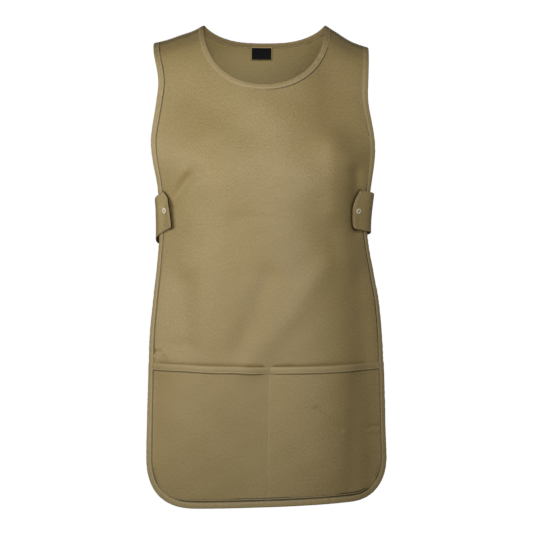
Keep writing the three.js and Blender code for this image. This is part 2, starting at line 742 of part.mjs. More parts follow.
function pocketPanel() {
  const { left, right, hem } = pocketEdge;
  // At the mouth's ends the cloth's rim is set down from the mouth line, as it is along the mouth.
  const corner = (stations, end) => ({
    rim: mouthEnd(stations, TAPE + GAP).rim,
    inner: end.inner,
    order: stations[0].order,
  });
  const body = patch(
    pocketVertex,
    innerOf(mouth),
    innerOf([left.at(-1), ...hem, right.at(-1)]),
    innerOf([mouthLeft, ...left.slice(1)]),
    innerOf([mouthRight, ...right.slice(1)]),
  );
  const round = [
    corner(left, mouthLeft),
    ...mouth,
    corner(right, mouthRight),
    ...right.slice(1),
    ...backwards(hem),
    ...backwards(left.slice(1)),
  ];
  return thicken([...cells(body), ...strip(round)], CLOTH);
}

// Tape over the mouth: a leg down the outside, and a fold that ends level with the pocket's inner face.
function pocketBand() {
  const slot = CLOTH / 2 + BAND_GAP;
  const section = [
    [POCKET_BAND_WIDTH, slot + TAPE],
    [0, slot + TAPE],
    [0, -CLOTH / 2],
    [TAPE, -CLOTH / 2],
    [TAPE, slot],
    [POCKET_BAND_WIDTH, slot],
  ];
  return sweep(bandStations, () => section, false);
}

// The place on a panel at some distance in from its side edge, measured along the cloth.
function inFromEdge(face, side, z, distance) {
  const step = 0.5;
  const inwards = -signOf(side) * step;
  let x = signOf(side) * face.half(side, z);
  let here = face.point(x, z);
  let walked = 0;
  while (walked < distance) {
    x += inwards;
    const next = face.point(x, z);
    walked += next.distanceTo(here);
    here = next;
  }
  return x;
}

// One line along the tab, at a height from the tab's middle, and the way out from it: from its free end
// on the front, round the side, to its sewn end on the back.
function tabLine(side, height) {
  const fall = Math.tan(THREE.MathUtils.degToRad(TAB_FALL_DEG[side]));
  const reach = TAB_REACH[side] - TAB_LEAN[side] * height;
  const round = FRONT.edge[side](TAB_DROP) + BACK.edge[side](TAB_DROP);
  const onPanel = (face, distance, along, lift) => {
    const z = -TAB_DROP + height - fall * (along - reach / 2);
    const { p, n } = face.vertex(inFromEdge(face, side, z, distance), z);
    return { p: p.addScaledVector(n, lift), n };
  };
  const frontEdge = onPanel(FRONT, 0, reach, TAB_LIFT.edge);
  const backEdge = onPanel(BACK, 0, reach + round, TAB_LIFT.back);
  const outermost = {
    p: frontEdge.p.clone().lerp(backEdge.p, 0.5),
    n: new THREE.Vector3(signOf(side), 0, 0),
  };
  outermost.p.x += signOf(side) * TAB_BULGE;
  const backHalf = TAB_BACK_REACH / 2;
  const marks = [
    onPanel(FRONT, reach, 0, TAB_LIFT.stud),
    onPanel(FRONT, reach / 2, reach / 2, TAB_LIFT.stud),
    frontEdge,
    outermost,
    backEdge,
    onPanel(BACK, backHalf, reach + round + backHalf, TAB_LIFT.sewn),
    onPanel(BACK, TAB_BACK_REACH, reach + round + TAB_BACK_REACH, TAB_LIFT.sewn),
  ];
  const curve = new THREE.CatmullRomCurve3(marks.map((mark) => mark.p), false, "centripetal");
  return { curve, normals: marks.map((mark) => mark.n) };
}

// A place on a tab's line, and the way out from it, at a distance along the line.
function tabVertex({ curve, normals }, distance) {
  const share = Math.min(1, distance / curve.getLength());
  const place = curve.getUtoTmapping(share) * (normals.length - 1);
  const before = Math.min(Math.floor(place), normals.length - 2);
  const n = normals[before].clone().lerp(normals[before + 1], place - before);
  n.projectOnPlane(curve.getTangentAt(share)).normalize();
  return { p: curve.getPointAt(share), n };
}

function tab(side) {
  const rows = TAB_END.map(({ up, back }) => {
    const line = tabLine(side, up - TAB_WIDTH / 2);
    const length = line.curve.getLength() - back;
    return range(TAB_STEPS + 1, (k) => tabVertex(line, back + (length * k) / TAB_STEPS));
  });
  return thicken(cells(rows), TAB_THICK);
}

// A round piece turned about +Z from a profile of radii and heights
function turned(profile) {
  const points = profile.map(([radius, height]) => new THREE.Vector2(radius, height));
  return new THREE.LatheGeometry(points, STUD.sides).rotateX(Math.PI / 2);
}

function snapCap() {
  const { ring, hole, height, wall, bevel } = STUD_CAP;
  return turned([
    [hole, 0],
    [ring, 0],
    [ring, wall],
    [ring - bevel, height],
    [hole + bevel, height],
    [hole, wall],
    [hole, 0],
  ]);
}

function snapBase(height) {
  const { flange, waist, flangeThick } = STUD;
  return turned([
    [0, 0],
    [flange, 0],
    [flange, flangeThick],
    [waist, flangeThick],
    [waist, height - flangeThick],
    [flange, height - flangeThick],
    [flange, height],
    [0, height],
  ]);
}

// A plain label inside the back neck, below the tape.
function neckLabel() {
  const { across, down } = LABEL_CELLS;
  const rows = range(down + 1, (j) =>
    range(across + 1, (i) => {
      const x = LABEL.x + LABEL.width * (i / across - 0.5);
      const { p, n } = BACK.vertex(x, -LABEL.top - (LABEL.height * j) / down);
      return { p: p.addScaledVector(n, -LABEL.behind), n };
    }),
  );
  return thicken(cells(rows), CLOTH);
}

function mesh(name, geometry, material) {
  const made = new THREE.Mesh(geometry, material.clone());
  made.name = name;
  return made;
}

// A tab with its press stud: the ring cap outside, and the socket and stud between the tab and the panel.
function tabGroup(side) {
  const { p, n } = tabVertex(tabLine(side, 0), STUD_FROM_END);
  const turn = new THREE.Quaternion().setFromUnitVectors(new THREE.Vector3(0, 0, 1), n);
  const under = TAB_THICK / 2 + STUD_CLEAR.tab;
  const baseHeight = TAB_LIFT.stud - under - CLOTH / 2 - STUD_CLEAR.panel;
  const cap = mesh(`${side}_snap_cap`, snapCap(), NICKEL);
  cap.position.copy(p).addScaledVector(n, TAB_THICK / 2 + STUD_CLEAR.cap);
  const base = mesh(`${side}_snap_base`, snapBase(baseHeight), NICKEL);
  base.position.copy(p).addScaledVector(n, -under - baseHeight);
  for (const piece of [cap, base]) piece.quaternion.copy(turn);
  return new THREE.Group().add(mesh(`${side}_tab`, tab(side), KHAKI), cap, base);
}

const apron = new THREE.Group();
apron.add(
  mesh("front_panel", frontPanel(), KHAKI),
  mesh("back_panel", backPanel(), KHAKI),
  mesh("neck_binding", neckBinding(), KHAKI_TAPE),
  mesh("edge_binding", edgeBinding(), KHAKI_TAPE),
  mesh("pocket_panel", pocketPanel(), KHAKI),
  mesh("pocket_band", pocketBand(), KHAKI_TAPE),
  mesh("neck_label", neckLabel(), BLACK_SATIN),
  tabGroup("left"),
  tabGroup("right"),
);

export default apron;
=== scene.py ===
"""Dresses a pinafore apron in khaki twill: two panels, taped edges, a pocket, side tabs, studs and a label.

Sizes are in millimetres in the part's frame: +Z up, the front faces -Y, and left and right are as seen
from the front. Meshes are made in metres.
"""
import logging
import math
from collections.abc import Callable
from dataclasses import dataclass, field
from enum import Enum
from typing import NamedTuple

import bmesh
import bpy
import numpy as np
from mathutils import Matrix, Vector
from mathutils.kdtree import KDTree


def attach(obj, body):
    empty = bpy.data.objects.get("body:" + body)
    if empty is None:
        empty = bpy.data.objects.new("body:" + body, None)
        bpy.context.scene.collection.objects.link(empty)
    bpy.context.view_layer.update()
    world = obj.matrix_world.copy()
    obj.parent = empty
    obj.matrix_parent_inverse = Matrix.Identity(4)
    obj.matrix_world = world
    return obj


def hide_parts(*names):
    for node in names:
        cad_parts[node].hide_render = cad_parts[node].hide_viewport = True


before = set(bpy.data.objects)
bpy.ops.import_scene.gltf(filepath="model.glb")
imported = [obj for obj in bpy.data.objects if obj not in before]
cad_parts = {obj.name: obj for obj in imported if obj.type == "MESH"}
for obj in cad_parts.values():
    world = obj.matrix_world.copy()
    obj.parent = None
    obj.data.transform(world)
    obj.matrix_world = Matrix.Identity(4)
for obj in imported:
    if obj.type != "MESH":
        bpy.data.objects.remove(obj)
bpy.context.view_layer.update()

LOG = logging.getLogger("apron")

Array = np.ndarray
Curve = Callable[[Array], Array]
Material = bpy.types.Material
Node = bpy.types.Node
Piece = bpy.types.Object
Tree = bpy.types.NodeTree

MM = 0.001
BODY = "root"
CLOTH_UV = "cloth"
# Name of the point attribute that holds painted shade, from 0 to 1: darkening painted beside seams, along
# tape edges and under the tabs' free ends
PAINTED_SHADE = "tuck"
MERGE = 0.01  # points nearer than this become one
SLIVER = 0.002  # edges shorter than this are taken out

# Cloth and tape
CLOTH = 1.0
HALF_CLOTH = CLOTH / 2
EDGE_TAPE_WIDTH = 10.0
NECK_TAPE_WIDTH = 9.5
TAPE_RISE = 1.2  # of the tape's face above the cloth's
TAPE_FACE = HALF_CLOTH + TAPE_RISE  # the tape's face above the cloth's middle
TAPE_CROWN = 0.14  # how much higher the tape is half way across
TAPE_FOLD = 1.0  # from the tape's outer fold to the slot that takes the cloth
SLOT_GAP = 0.03  # between the cloth and the tape's inside
RIM = 1.3  # from the taped edge to the cloth's own rim
PLY_STEP = 1.3  # from one cloth's middle to the next cloth's
STITCH_IN = 1.7  # from a tape's inner edge to its seam
THREAD_RISE = 0.2  # of a tape's thread above its seam's groove

# Neck, hem and corners
NECK_HALF = 99.0
NECK_CENTRE = 10.0  # a height inside the neck opening
BODY_LEVEL = -400.0  # a height half way down the panels
FRONT_NECK_DROP = 106.0
FRONT_NECK_POWER = 2.15
BACK_NECK_DROP = 22.6
BACK_NECK_INNER = 3.2
BACK_NECK_OUTER = 0.85
NECK_BREAK = math.radians(50)
ARMHOLE_BREAK = 125.0
CORNER_DROP = 700.0
CORNER_POWER = 2.5
BACK_INSET = 3.0
INSET_FADE = 14.0
SECTION_POWER = 2.4

# Pocket
MOUTH_DROP = 552.0
MOUTH_SAG = 3.8
BAND_WIDTH = 11.0
SEAM_X = 5.0
SEAM_TOP_X = 8.0
POCKET_BULGE = 10.0
POCKET_FILL_POWER = 0.7
POCKET_FLAT_RIM = 14.0
POCKET_FLAT_SEAM = 4.0
POCKET_SEAM_LIFT = 0.8
POCKET_SEAM_RISE = 0.25


class Side(Enum):
    """A side of the apron as seen from the front, with its sign along X."""

    LEFT = -1
    RIGHT = 1

    @property
    def word(self) -> str:
        """The side's name in lower case, as a table's column has it."""
        return self.name.lower()


class SideRow(NamedTuple):
    """A value for each side at a distance along."""

    along: float
    left: float
    right: float


class DepthRow(NamedTuple):
    """How far a panel stands out at a drop below the shoulder line: in the middle and at its two edges."""

    along: float
    middle: float
    left: float
    right: float


class Hem(NamedTuple):
    """A panel's hem: its drop in the middle and its slope across."""

    drop: float
    tilt: float


class Fold(NamedTuple):
    """A soft fold along a line between two points, each given as a place across and a drop."""

    name: str
    x0: float
    drop0: float
    x1: float
    drop1: float
    wide: float
    height: float

    def rise(self, x: Array, drop: Array) -> Array:
        """Works out how far the fold stands out.

        Args:
            x: places across.
            drop: drops below the neck points.
        Returns:
            The fold's height at each place.
        """
        run_x = self.x1 - self.x0
        run_drop = self.drop1 - self.drop0
        share = ((x - self.x0) * run_x + (drop - self.drop0) * run_drop) / (run_x**2 + run_drop**2)
        nearest = np.clip(share, 0, 1)
        away = np.hypot(x - self.x0 - nearest * run_x, drop - self.drop0 - nearest * run_drop)
        return self.height * np.exp(-((away / self.wide) ** 2))


# The shoulder line's height at each distance out from the middle
SHOULDER = (
    SideRow(0, 30, 30),
    SideRow(45, 22, 23),
    SideRow(80, 9.5, 11),
    SideRow(99, 0, 0),
    SideRow(118, -9.5, -11.5),
    SideRow(140, -17, -25.5),
    SideRow(160, -24, -33.5),
    SideRow(182, -29.5, -40),
    SideRow(195, -32.5, -43.5),
)
TIP_DROP = {Side.LEFT: 29.5, Side.RIGHT: 37.0}

# Half widths of the front outline at each drop below the neck points
SIDES = (
    SideRow(0, 181, 172),
    SideRow(40, 182, 171),
    SideRow(95, 172, 168.5),
    SideRow(130, 175, 168),
    SideRow(190, 183, 177.5),
    SideRow(222, 181, 178.5),
    SideRow(270, 172.5, 172),
    SideRow(340, 170, 166.5),
    SideRow(410, 175.5, 178),
    SideRow(455, 180, 186),
    SideRow(505, 184.5, 190.5),
    SideRow(570, 186, 193),
    SideRow(660, 188, 195),
    SideRow(720, 188.5, 197),
    SideRow(790, 188.5, 197),
)

FRONT_DEPTHS = (
    DepthRow(0, 0, 0, 0),
    DepthRow(5, 12.5, 11, 11),
    DepthRow(10, 24, 20.5, 20.5),
    DepthRow(30, 48, 39, 37),
    DepthRow(60, 65, 49, 47),
    DepthRow(100, 80, 54, 52),
    DepthRow(150, 97, 58, 56),
    DepthRow(200, 113, 60, 57),
    DepthRow(260, 126, 48, 46),
    DepthRow(310, 127, 36, 33),
    DepthRow(350, 125, 33, 30),
    DepthRow(410, 122, 40, 33),
    DepthRow(480, 120, 54, 40),
    DepthRow(560, 120, 66, 47),
    DepthRow(660, 122, 82, 54),
    DepthRow(800, 124, 91, 58),
)
BACK_DEPTHS = (
    DepthRow(0, 0, 0, 0),
    DepthRow(6, 8, 7.2, 7.2),
    DepthRow(12, 16, 14, 14),
    DepthRow(30, 36, 30, 29),
    DepthRow(50, 56, 42, 40),
    DepthRow(75, 72, 48, 46),
    DepthRow(110, 86, 52, 50),
    DepthRow(160, 97, 50, 48),
    DepthRow(230, 96, 38, 37),
    DepthRow(310, 89, 26, 26),
    DepthRow(350, 88, 24, 24),
    DepthRow(420, 92, 30, 30),
    DepthRow(520, 103, 46, 46),
    DepthRow(640, 109, 60, 60),
    DepthRow(800, 110, 68, 68),
)

# The front's main folds, as the solid part has them
MAIN_FOLDS = (
    Fold("left shoulder hollow", -125, 125, -25, 182, 30, -5),
    Fold("right shoulder hollow", 30, 128, 88, 186, 24, -4),
    Fold("left bust", -112, 225, -84, 250, 48, 7),
    Fold("right bust", 84, 250, 106, 225, 44, 7),
    Fold("left tab pull", -158, 292, -106, 246, 11, -4),
    Fold("right tab pull", 132, 240, 140, 326, 13, -6),
    Fold("waist ridge", 100, 395, -20, 550, 20, 4),
    Fold("waist hollow", 4, 415, -42, 530, 18, -4),
    Fold("left hip hollow", -150, 392, -126, 490, 18, -5),
    Fold("right hang hollow", 122, 400, 136, 770, 19, -6),
    Fold("right hang ridge", 158, 440, 166, 680, 14, 3),
)

# Finer creases that only the dressed cloth has
FINE_FOLDS = (
    Fold("waist crease", -70, 317, 17, 321, 6, -0.4),
    Fold("left pocket corner hollow", -172, 522, -122, 522, 10, -1.2),
    Fold("right side fall", 150, 415, 172, 770, 22, -8),
    Fold("right hang easing", 122, 400, 136, 770, 19, 5),
    Fold("right hang ridge easing", 158, 440, 166, 680, 14, -3),
    Fold("right armhole easing", 134, 225, 136, 262, 14, 3.5),
    Fold("middle waist hollow", -40, 335, -30, 400, 24, -2),
    Fold("waist ridge easing", 100, 395, -20, 550, 20, -1),
    Fold("left tab crease", -146, 298, -121, 254, 9, -3),
    Fold("left tab ridge", -153, 282, -131, 245, 9, 2.5),
    Fold("left hip easing", -150, 392, -126, 490, 18, 4),
    Fold("left hip inner hollow", -128, 425, -122, 520, 22, -5),
    Fold("left hip rim", -182, 430, -184, 536, 30, 8),
    Fold("left waist rim", -172, 335, -176, 385, 26, 4),
    Fold("right shoulder easing", 30, 128, 88, 186, 24, 3.5),
    Fold("right neck fall", 104, 85, 112, 165, 30, -4),
    Fold("right waist ridge", 112, 205, 116, 305, 22, 6),
    Fold("right hip ridge", 128, 352, 136, 412, 15, 3),
    Fold("right armhole fall", 178, 226, 176, 270, 22, -9),
    Fold("right tab pull easing", 132, 240, 140, 326, 13, 5),
    Fold("right tab hollow", 147, 246, 148, 336, 11, -8),
)
# Where the front's cloth falls back behind the pocket's mouth
MOUTH_FOLDS = (
    Fold("left mouth hollow", -166, 555, -2, 559, 3.6, -2.2),
    Fold("right mouth hollow", 18, 559, 160, 555, 3.6, -2.2),
    Fold("left tack hollow", -24, 556, -2, 558, 3.6, -1.2),
    Fold("right tack hollow", 18, 558, 42, 556, 3.6, -1.2),
    Fold("left corner puff", -174, 542, -173, 552, 5, 2.8),
    Fold("left corner valley", -181, 535, -168, 534, 3.0, -3.4),
    Fold("left corner fall", -162, 544, -160, 553, 5, -2.0),
)
POCKET_FOLDS = (
    Fold("right crease", 79, 622, 119, 657, 3.2, -1.2),
    Fold("seam dent", SEAM_TOP_X, 554, SEAM_X, 764, 2.4, -0.7),
    Fold("right pocket fall", 141, 575, 139, 770, 14, -2.2),
    Fold("right edge tuck", 170, 655, 184, 656, 3, -1.3),
    Fold("right edge puff", 168, 662, 182, 663, 4, 1.0),
)

CORNER_RUN = {Side.LEFT: 78.0, Side.RIGHT: 67.0}
FRONT_HEM = Hem(777, 0.033)
BACK_HEM = Hem(776, 0)


def smooth_through(at: Array, value: Array) -> Curve:
    """Makes a smooth curve through values.

    Args:
        at: rising distances along.
        value: the value at each.
    Returns:
        A function of distances along, held level past both ends.
    """
    order = np.arange(len(at))
    before = np.maximum(order - 1, 0)
    after = np.minimum(order + 1, len(at) - 1)
    slope = (value[after] - value[before]) / (at[after] - at[before])

    def curve(along: Array) -> Array:
        """Reads the curve.

        Args:
            along: distances along.
        Returns:
            The value at each.
        """
        clamped = np.clip(along, at[0], at[-1])
        i = np.clip(np.searchsorted(at, clamped, side="right") - 1, 0, len(at) - 2)
        span = at[i + 1] - at[i]
        share = (clamped - at[i]) / span
        rest = 1 - share
        bend = span * share * rest * (slope[i] * rest - slope[i + 1] * share)
        return value[i] * rest**2 * (1 + 2 * share) + value[i + 1] * share**2 * (3 - 2 * share) + bend

    return curve


def through(rows: tuple[NamedTuple, ...], column: str) -> Curve:
    """The smooth curve through one column of a table, over its rising column "along"."""
    table = {key: np.array([getattr(row, key) for row in rows], float) for key in ("along", column)}
    return smooth_through(table["along"], table[column])


def both_sides(rows: tuple[NamedTuple, ...]) -> dict[Side, Curve]:
    """The curves through a table's left and right columns."""
    return {side: through(rows, side.word) for side in Side}


SHOULDER_HEIGHT = both_sides(SHOULDER)
HALF_WIDTH = both_sides(SIDES)


def by_side(curves: dict[Side, Curve], x: Array, along: Array) -> Array:
    """A pair of curves read at distances along, each on its own side of the middle."""
    return np.where(x < 0, curves[Side.LEFT](along), curves[Side.RIGHT](along))


def ridge(x: Array) -> Array:
    """The shoulder line's height at places across."""
    return by_side(SHOULDER_HEIGHT, x, np.abs(x))


def unit(vectors: Array) -> Array:
    """Vectors of length one, along the last axis."""
    return vectors / np.linalg.norm(vectors, axis=-1, keepdims=True)


def squared(vectors: Array, others: Array) -> Array:
    """Vectors of length one, turned square to others."""
    return unit(vectors - (vectors * others).sum(-1, keepdims=True) * others)


def rising(values: Array, start: float, run: float) -> Array:
    """An even rise from 0 at a start to 1 after a run, level at both ends."""
    share = np.clip((values - start) / run, 0, 1)
    return share * share * (3 - 2 * share)


def lengths(points: Array) -> Array:
    """The distance along a row of points, from its first."""
    steps = np.linalg.norm(np.diff(points, axis=0), axis=1)
    return np.concatenate([[0], np.cumsum(steps)])


def read_along(wanted: Array, along: Array, rows: Array) -> Array:
    """Rows of values that are known at distances along, read at the wanted distances."""
    return np.stack([np.interp(wanted, along, column) for column in rows.T], -1)


@dataclass
class Face:
    """A panel's middle surface, as depths at places across and heights."""

    facing: int
    depths: tuple[DepthRow, ...]
    folds: tuple[Fold, ...]
    inset: float
    slope_step: float = 0.5
    middle: Curve = field(init=False)
    edge: dict[Side, Curve] = field(init=False)

    def __post_init__(self) -> None:
        """Makes the curves through the table of depths."""
        self.middle = through(self.depths, "middle")
        self.edge = both_sides(self.depths)

    def half(self, side: Side, z: Array) -> Array:
        """The half width on one side at heights."""
        return HALF_WIDTH[side](-z) - self.inset

    def depth(self, x: Array, z: Array) -> Array:
        """Works out how far the cloth stands out from the plane of the shoulders.

        Args:
            x: places across.
            z: heights.
        Returns:
            The distance at each place.
        """
        drop = np.maximum(0, ridge(x) - z)
        half = by_side(HALF_WIDTH, x, -z) - self.inset
        edge = by_side(self.edge, x, drop)
        plain = edge + (self.middle(drop) - edge) * (1 - (np.abs(x) / half) ** SECTION_POWER)
        return plain + sum(fold.rise(x, -z) for fold in self.folds)

    def points(self, x: Array, z: Array) -> Array:
        """Points on the cloth."""
        return np.stack([x, self.facing * self.depth(x, z), z], -1)

    def normals(self, x: Array, z: Array) -> Array:
        """Works out the ways out of the cloth.

        Args:
            x: places across.
            z: heights.
        Returns:
            A vector of length one at each place.
        """
        step = self.slope_step
        slope_x = (self.depth(x + step, z) - self.depth(x - step, z)) / (2 * step)
        slope_z = (self.depth(x, z + step) - self.depth(x, z - step)) / (2 * step)
        return unit(np.stack([-slope_x, np.full_like(slope_x, self.facing), -slope_z], -1))


@dataclass
class Grain:
    """The cloth's own flat coordinates: distances across and up, measured along a face."""

    face: Face
    step: float = 2.5
    half: float = 215.0
    top: float = 32.0
    bottom: float = -800.0
    across: Array = field(init=False)
    up: Array = field(init=False)

    def __post_init__(self) -> None:
        """Measures the face along a square net."""
        x = np.arange(-self.half, self.half + self.step, self.step)
        z = np.arange(self.bottom, self.top + self.step, self.step)
        net = self.face.depth(*np.meshgrid(x, z))
        self.across = self.walked(net, 1, np.searchsorted(x, 0))
        self.up = self.walked(net, 0, np.searchsorted(z, BODY_LEVEL))

    def walked(self, net: Array, axis: int, start: int) -> Array:
        """Measures along one axis of the net.

        Args:
            net: depths at the net's points.
            axis: the axis to walk along.
            start: the row or column to measure from.
        Returns:
            The distance along at each point.
        """
        steps = np.hypot(self.step, np.diff(net, axis=axis))
        far = np.insert(np.cumsum(steps, axis=axis), 0, 0, axis=axis)
        return far - np.take(far, [start], axis=axis)

    def read(self, net: Array, column: Array, row: Array) -> Array:
        """Reads a net between its points.

        Args:
            net: values at the net's points.
            column: places along its rows, in cells.
            row: places along its columns, in cells.
        Returns:
            The value at each place.
        """
        i, j = column.astype(int), row.astype(int)
        u, v = column - i, row - j
        low = net[j, i] * (1 - u) + net[j, i + 1] * u
        high = net[j + 1, i] * (1 - u) + net[j + 1, i + 1] * u
        return low * (1 - v) + high * v

    def flat(self, x: Array, z: Array) -> Array:
        """Works out flat coordinates of places on the face.

        Args:
            x: places across.
            z: heights.
        Returns:
            Distances across and up, along the cloth.
        """
        rows, columns = np.array(self.across.shape) - 1.001  # just inside the last cells
        column = np.clip((x + self.half) / self.step, 0, columns)
        row = np.clip((z - self.bottom) / self.step, 0, rows)
        return np.stack([self.read(net, column, row) for net in (self.across, self.up)], -1)


FRONT_SOLID = Face(-1, FRONT_DEPTHS, MAIN_FOLDS, 0)
FRONT = Face(-1, FRONT_DEPTHS, MAIN_FOLDS + FINE_FOLDS, 0)
FRONT_CLOTH = Face(-1, FRONT_DEPTHS, MAIN_FOLDS + FINE_FOLDS + MOUTH_FOLDS, 0)
BACK = Face(1, BACK_DEPTHS, (), BACK_INSET)
FRONT_GRAIN = Grain(FRONT)
BACK_GRAIN = Grain(BACK)


@dataclass
class Stations:
    """Places along an edge, each with the way into the cloth and the way out of it."""

    edge: Array
    inward: Array
    out: Array

    def offset(self, into: Array | float, out: Array | float) -> Array:
        """Points at distances into and out of the cloth."""
        return self.edge + np.reshape(into, (-1, 1)) * self.inward + np.reshape(out, (-1, 1)) * self.out

    def rim(self) -> Array:
        """The cloth's own rim under the tape, as places across and heights."""
        return self.offset(RIM, 0)[:, [0, 2]]

    def part(self, first: int, last: int) -> "Stations":
        """The stations from one to another, the last left out."""
        return Stations(self.edge[first:last], self.inward[first:last], self.out[first:last])

    def softened(self, reach: int) -> "Stations":
        """Eases the turns of a closed run.

        Args:
            reach: how many neighbours each way a station is eased over.
        Returns:
            The eased run.
        """
        shifts = np.arange(-reach, reach + 1)
        weights = np.exp(-((shifts / (reach / 2)) ** 2))
        weights /= weights.sum()

        def eased(values: Array) -> Array:
            """Each row's mean with its neighbours."""
            return sum(weight * np.roll(values, shift, axis=0) for weight, shift in zip(weights, shifts))

        out = unit(eased(self.out))
        return Stations(eased(self.edge), squared(eased(self.inward), out), out)


def joined(*runs: Stations) -> Stations:
    """Runs of stations set one after another."""
    keys = ("edge", "inward", "out")
    return Stations(*(np.concatenate([getattr(run, key) for run in runs]) for key in keys))


def backwards(run: Stations) -> Stations:
    """A run of stations from its last to its first."""
    return Stations(run.edge[::-1], run.inward[::-1], run.out[::-1])


def spread(face: Face, places: Array, count: int) -> Array:
    """Places along a line on a face at equal steps along the cloth.

    Args:
        face: the surface that the line lies on.
        places: places across and heights, close together.
        count: how many places to give.
    Returns:
        The places, with the line's two ends.
    """
    along = lengths(face.points(*places.T))
    wanted = np.linspace(0, along[-1], count)
    return read_along(wanted, along, places)


def stations_on(face: Face, places: Array, neck: bool) -> Stations:
    """Stations at places along an edge of a face.

    Args:
        face: the panel's surface.
        places: places across and heights along the edge.
        neck: whether the edge is the neck, which the cloth lies outside of.
    Returns:
        The stations, in the places' order.
    """
    points = face.points(*places.T)
    along = unit(np.gradient(points, axis=0))
    out = face.normals(*places.T)
    inward = unit(np.cross(out, along))
    x, z = places.T
    cloth_side = (x, z - NECK_CENTRE) if neck else (-x, np.maximum(0, BODY_LEVEL - z))
    sign = np.sign((inward[:, [0, 2]] * np.stack(cloth_side, -1)).sum(1, keepdims=True))
    return Stations(points, inward * sign, out)


def rim_of(face: Face, places: Array, count: int, neck: bool) -> Array:
    """So many places on the cloth's rim, a little in from a taped edge: see stations_on."""
    return stations_on(face, spread(face, places, count), neck).rim()


def power_turn(count: int, first: float, last: float, power: float) -> tuple[Array, Array]:
    """The two legs of a rounded-square turn between two angles.

    Args:
        count: how many steps to give.
        first: the angle at the start.
        last: the angle at the end.
        power: 2 for a round turn, and more for a squarer one.
    Returns:
        The share along the first leg and along the second, at each step.
    """
    angle = np.linspace(first, last, count)
    cosine = np.sign(np.cos(angle)) * np.abs(np.cos(angle)) ** (2 / power)
    return cosine, np.abs(np.sin(angle)) ** (2 / power)


@dataclass(frozen=True)
class Outline:
    """A panel's taped edge, from the shoulder tip down a side and along the hem."""

    face: Face
    hem: Hem
    dense: int = 400
    crowding: float = 1.5  # how much the places crowd towards the shoulder's tip

    def side(self, side: Side) -> Array:
        """Follows one side from the shoulder's tip down to the start of the hem's corner.

        Args:
            side: which side.
        Returns:
            Places across and heights.
        """
        tip = float(ridge(np.array(side.value * HALF_WIDTH[side](np.array(TIP_DROP[side])))))
        share = np.linspace(0, 1, self.dense) ** self.crowding
        z = tip + (-CORNER_DROP - tip) * share
        fade = self.face.inset * (1 - rising(tip - z, 0, INSET_FADE))
        return np.stack([side.value * (self.face.half(side, z) + fade), z], -1)

    def corner(self, side: Side, first: float, last: float) -> Array:
        """Follows part of the hem's corner.

        Args:
            side: which side's corner.
            first: the angle at the start, 0 where the corner leaves the side.
            last: the angle at the end, a right angle where it reaches the hem.
        Returns:
            Places across and heights.
        """
        run = CORNER_RUN[side]
        start = float(self.face.half(side, np.array(-CORNER_DROP)))
        hem_x = side.value * (start - run)
        fall = self.hem.drop - self.hem.tilt * hem_x - CORNER_DROP
        out, down = power_turn(self.dense // 4, first, last, CORNER_POWER)
        return np.stack([hem_x + side.value * run * out, -CORNER_DROP - fall * down], -1)

    def down(self, side: Side) -> Array:
        """Places from a shoulder's tip to the middle of the hem's corner."""
        return np.concatenate([self.side(side), self.corner(side, 0, math.pi / 4)[1:]])

    def along_hem(self) -> Array:
        """Follows the hem from the middle of the left corner to the middle of the right.

        Returns:
            Places across and heights.
        """
        left = self.corner(Side.LEFT, math.pi / 4, math.pi / 2)
        right = self.corner(Side.RIGHT, math.pi / 4, math.pi / 2)[::-1]
        x = np.linspace(left[-1, 0], right[0, 0], self.dense)[1:-1]
        straight = np.stack([x, -self.hem.drop + self.hem.tilt * x], -1)
        return np.concatenate([left, straight, right])

    def filled(self, top: Array, sides: dict[Side, Array]) -> Array:
        """Fills the panel from a row of places down to the hem.

        Args:
            top: the row along the top, from left to right.
            sides: the rim down each side, from the row's ends to the middles of the hem's corners.
        Returns:
            A grid of places.
        """
        left, right = sides[Side.LEFT], sides[Side.RIGHT]
        bottom = rim_of(self.face, self.along_hem(), len(top), False)
        bottom[0], bottom[-1] = left[-1], right[-1]
        return blended(top, bottom, left, right)

    def stations(self, spacing: float) -> Stations:
        """Sets stations from the left shoulder's tip round the hem to the right one's.

        Args:
            spacing: the distance between them.
        Returns:
            The stations.
        """
        right = self.down(Side.RIGHT)[::-1]
        places = np.concatenate([self.down(Side.LEFT), self.along_hem()[1:], right[1:]])
        count = round(lengths(self.face.points(*places.T))[-1] / spacing)
        return stations_on(self.face, spread(self.face, places, count), False)


FRONT_EDGE = Outline(FRONT, FRONT_HEM)
BACK_EDGE = Outline(BACK, BACK_HEM)


def front_neck(first: float, last: float, count: int = 300) -> Array:
    """Places along the front neck between two angles, from the left neck point at 0."""
    out, down = power_turn(count, first, last, FRONT_NECK_POWER)
    return np.stack([-NECK_HALF * out, -FRONT_NECK_DROP * down], -1)


def back_neck(count: int = 600) -> Array:
    """Follows the back neck from the left neck point to the right one.

    Args:
        count: how many places to give.
    Returns:
        Places across and heights.
    """
    x = -NECK_HALF * np.cos(np.linspace(0, math.pi, count))
    share = np.minimum(1, np.abs(x / NECK_HALF)) ** BACK_NECK_INNER
    return np.stack([x, -BACK_NECK_DROP * (1 - share) ** BACK_NECK_OUTER], -1)


def blended(top: Array, bottom: Array, left: Array, right: Array) -> Array:
    """Fills a patch between four rows of places that share their corners.

    Args:
        top: the row along the top, from left to right.
        bottom: the row along the bottom, as long as the top.
        left: the row down the left.
        right: the row down the right, as long as the left.
    Returns:
        A grid of places, with a row for each place of the left side.
    """
    u = np.linspace(0, 1, len(top))[None, :, None]
    v = np.linspace(0, 1, len(left))[:, None, None]
    sides = (1 - u) * left[:, None] + u * right[:, None]
    ends = (1 - v) * top[None] + v * bottom[None]
    upper = (1 - u) * top[0] + u * top[-1]
    lower = (1 - u) * bottom[0] + u * bottom[-1]
    return sides + ends - (1 - v) * upper - v * lower


class Grid(NamedTuple):
    """Rows of points, their flat coordinates, and how much painted shade each takes, from 0 to 1."""

    points: Array
    flat: Array
    # painted shade, from 0 to 1
    tuck: Array | None = None


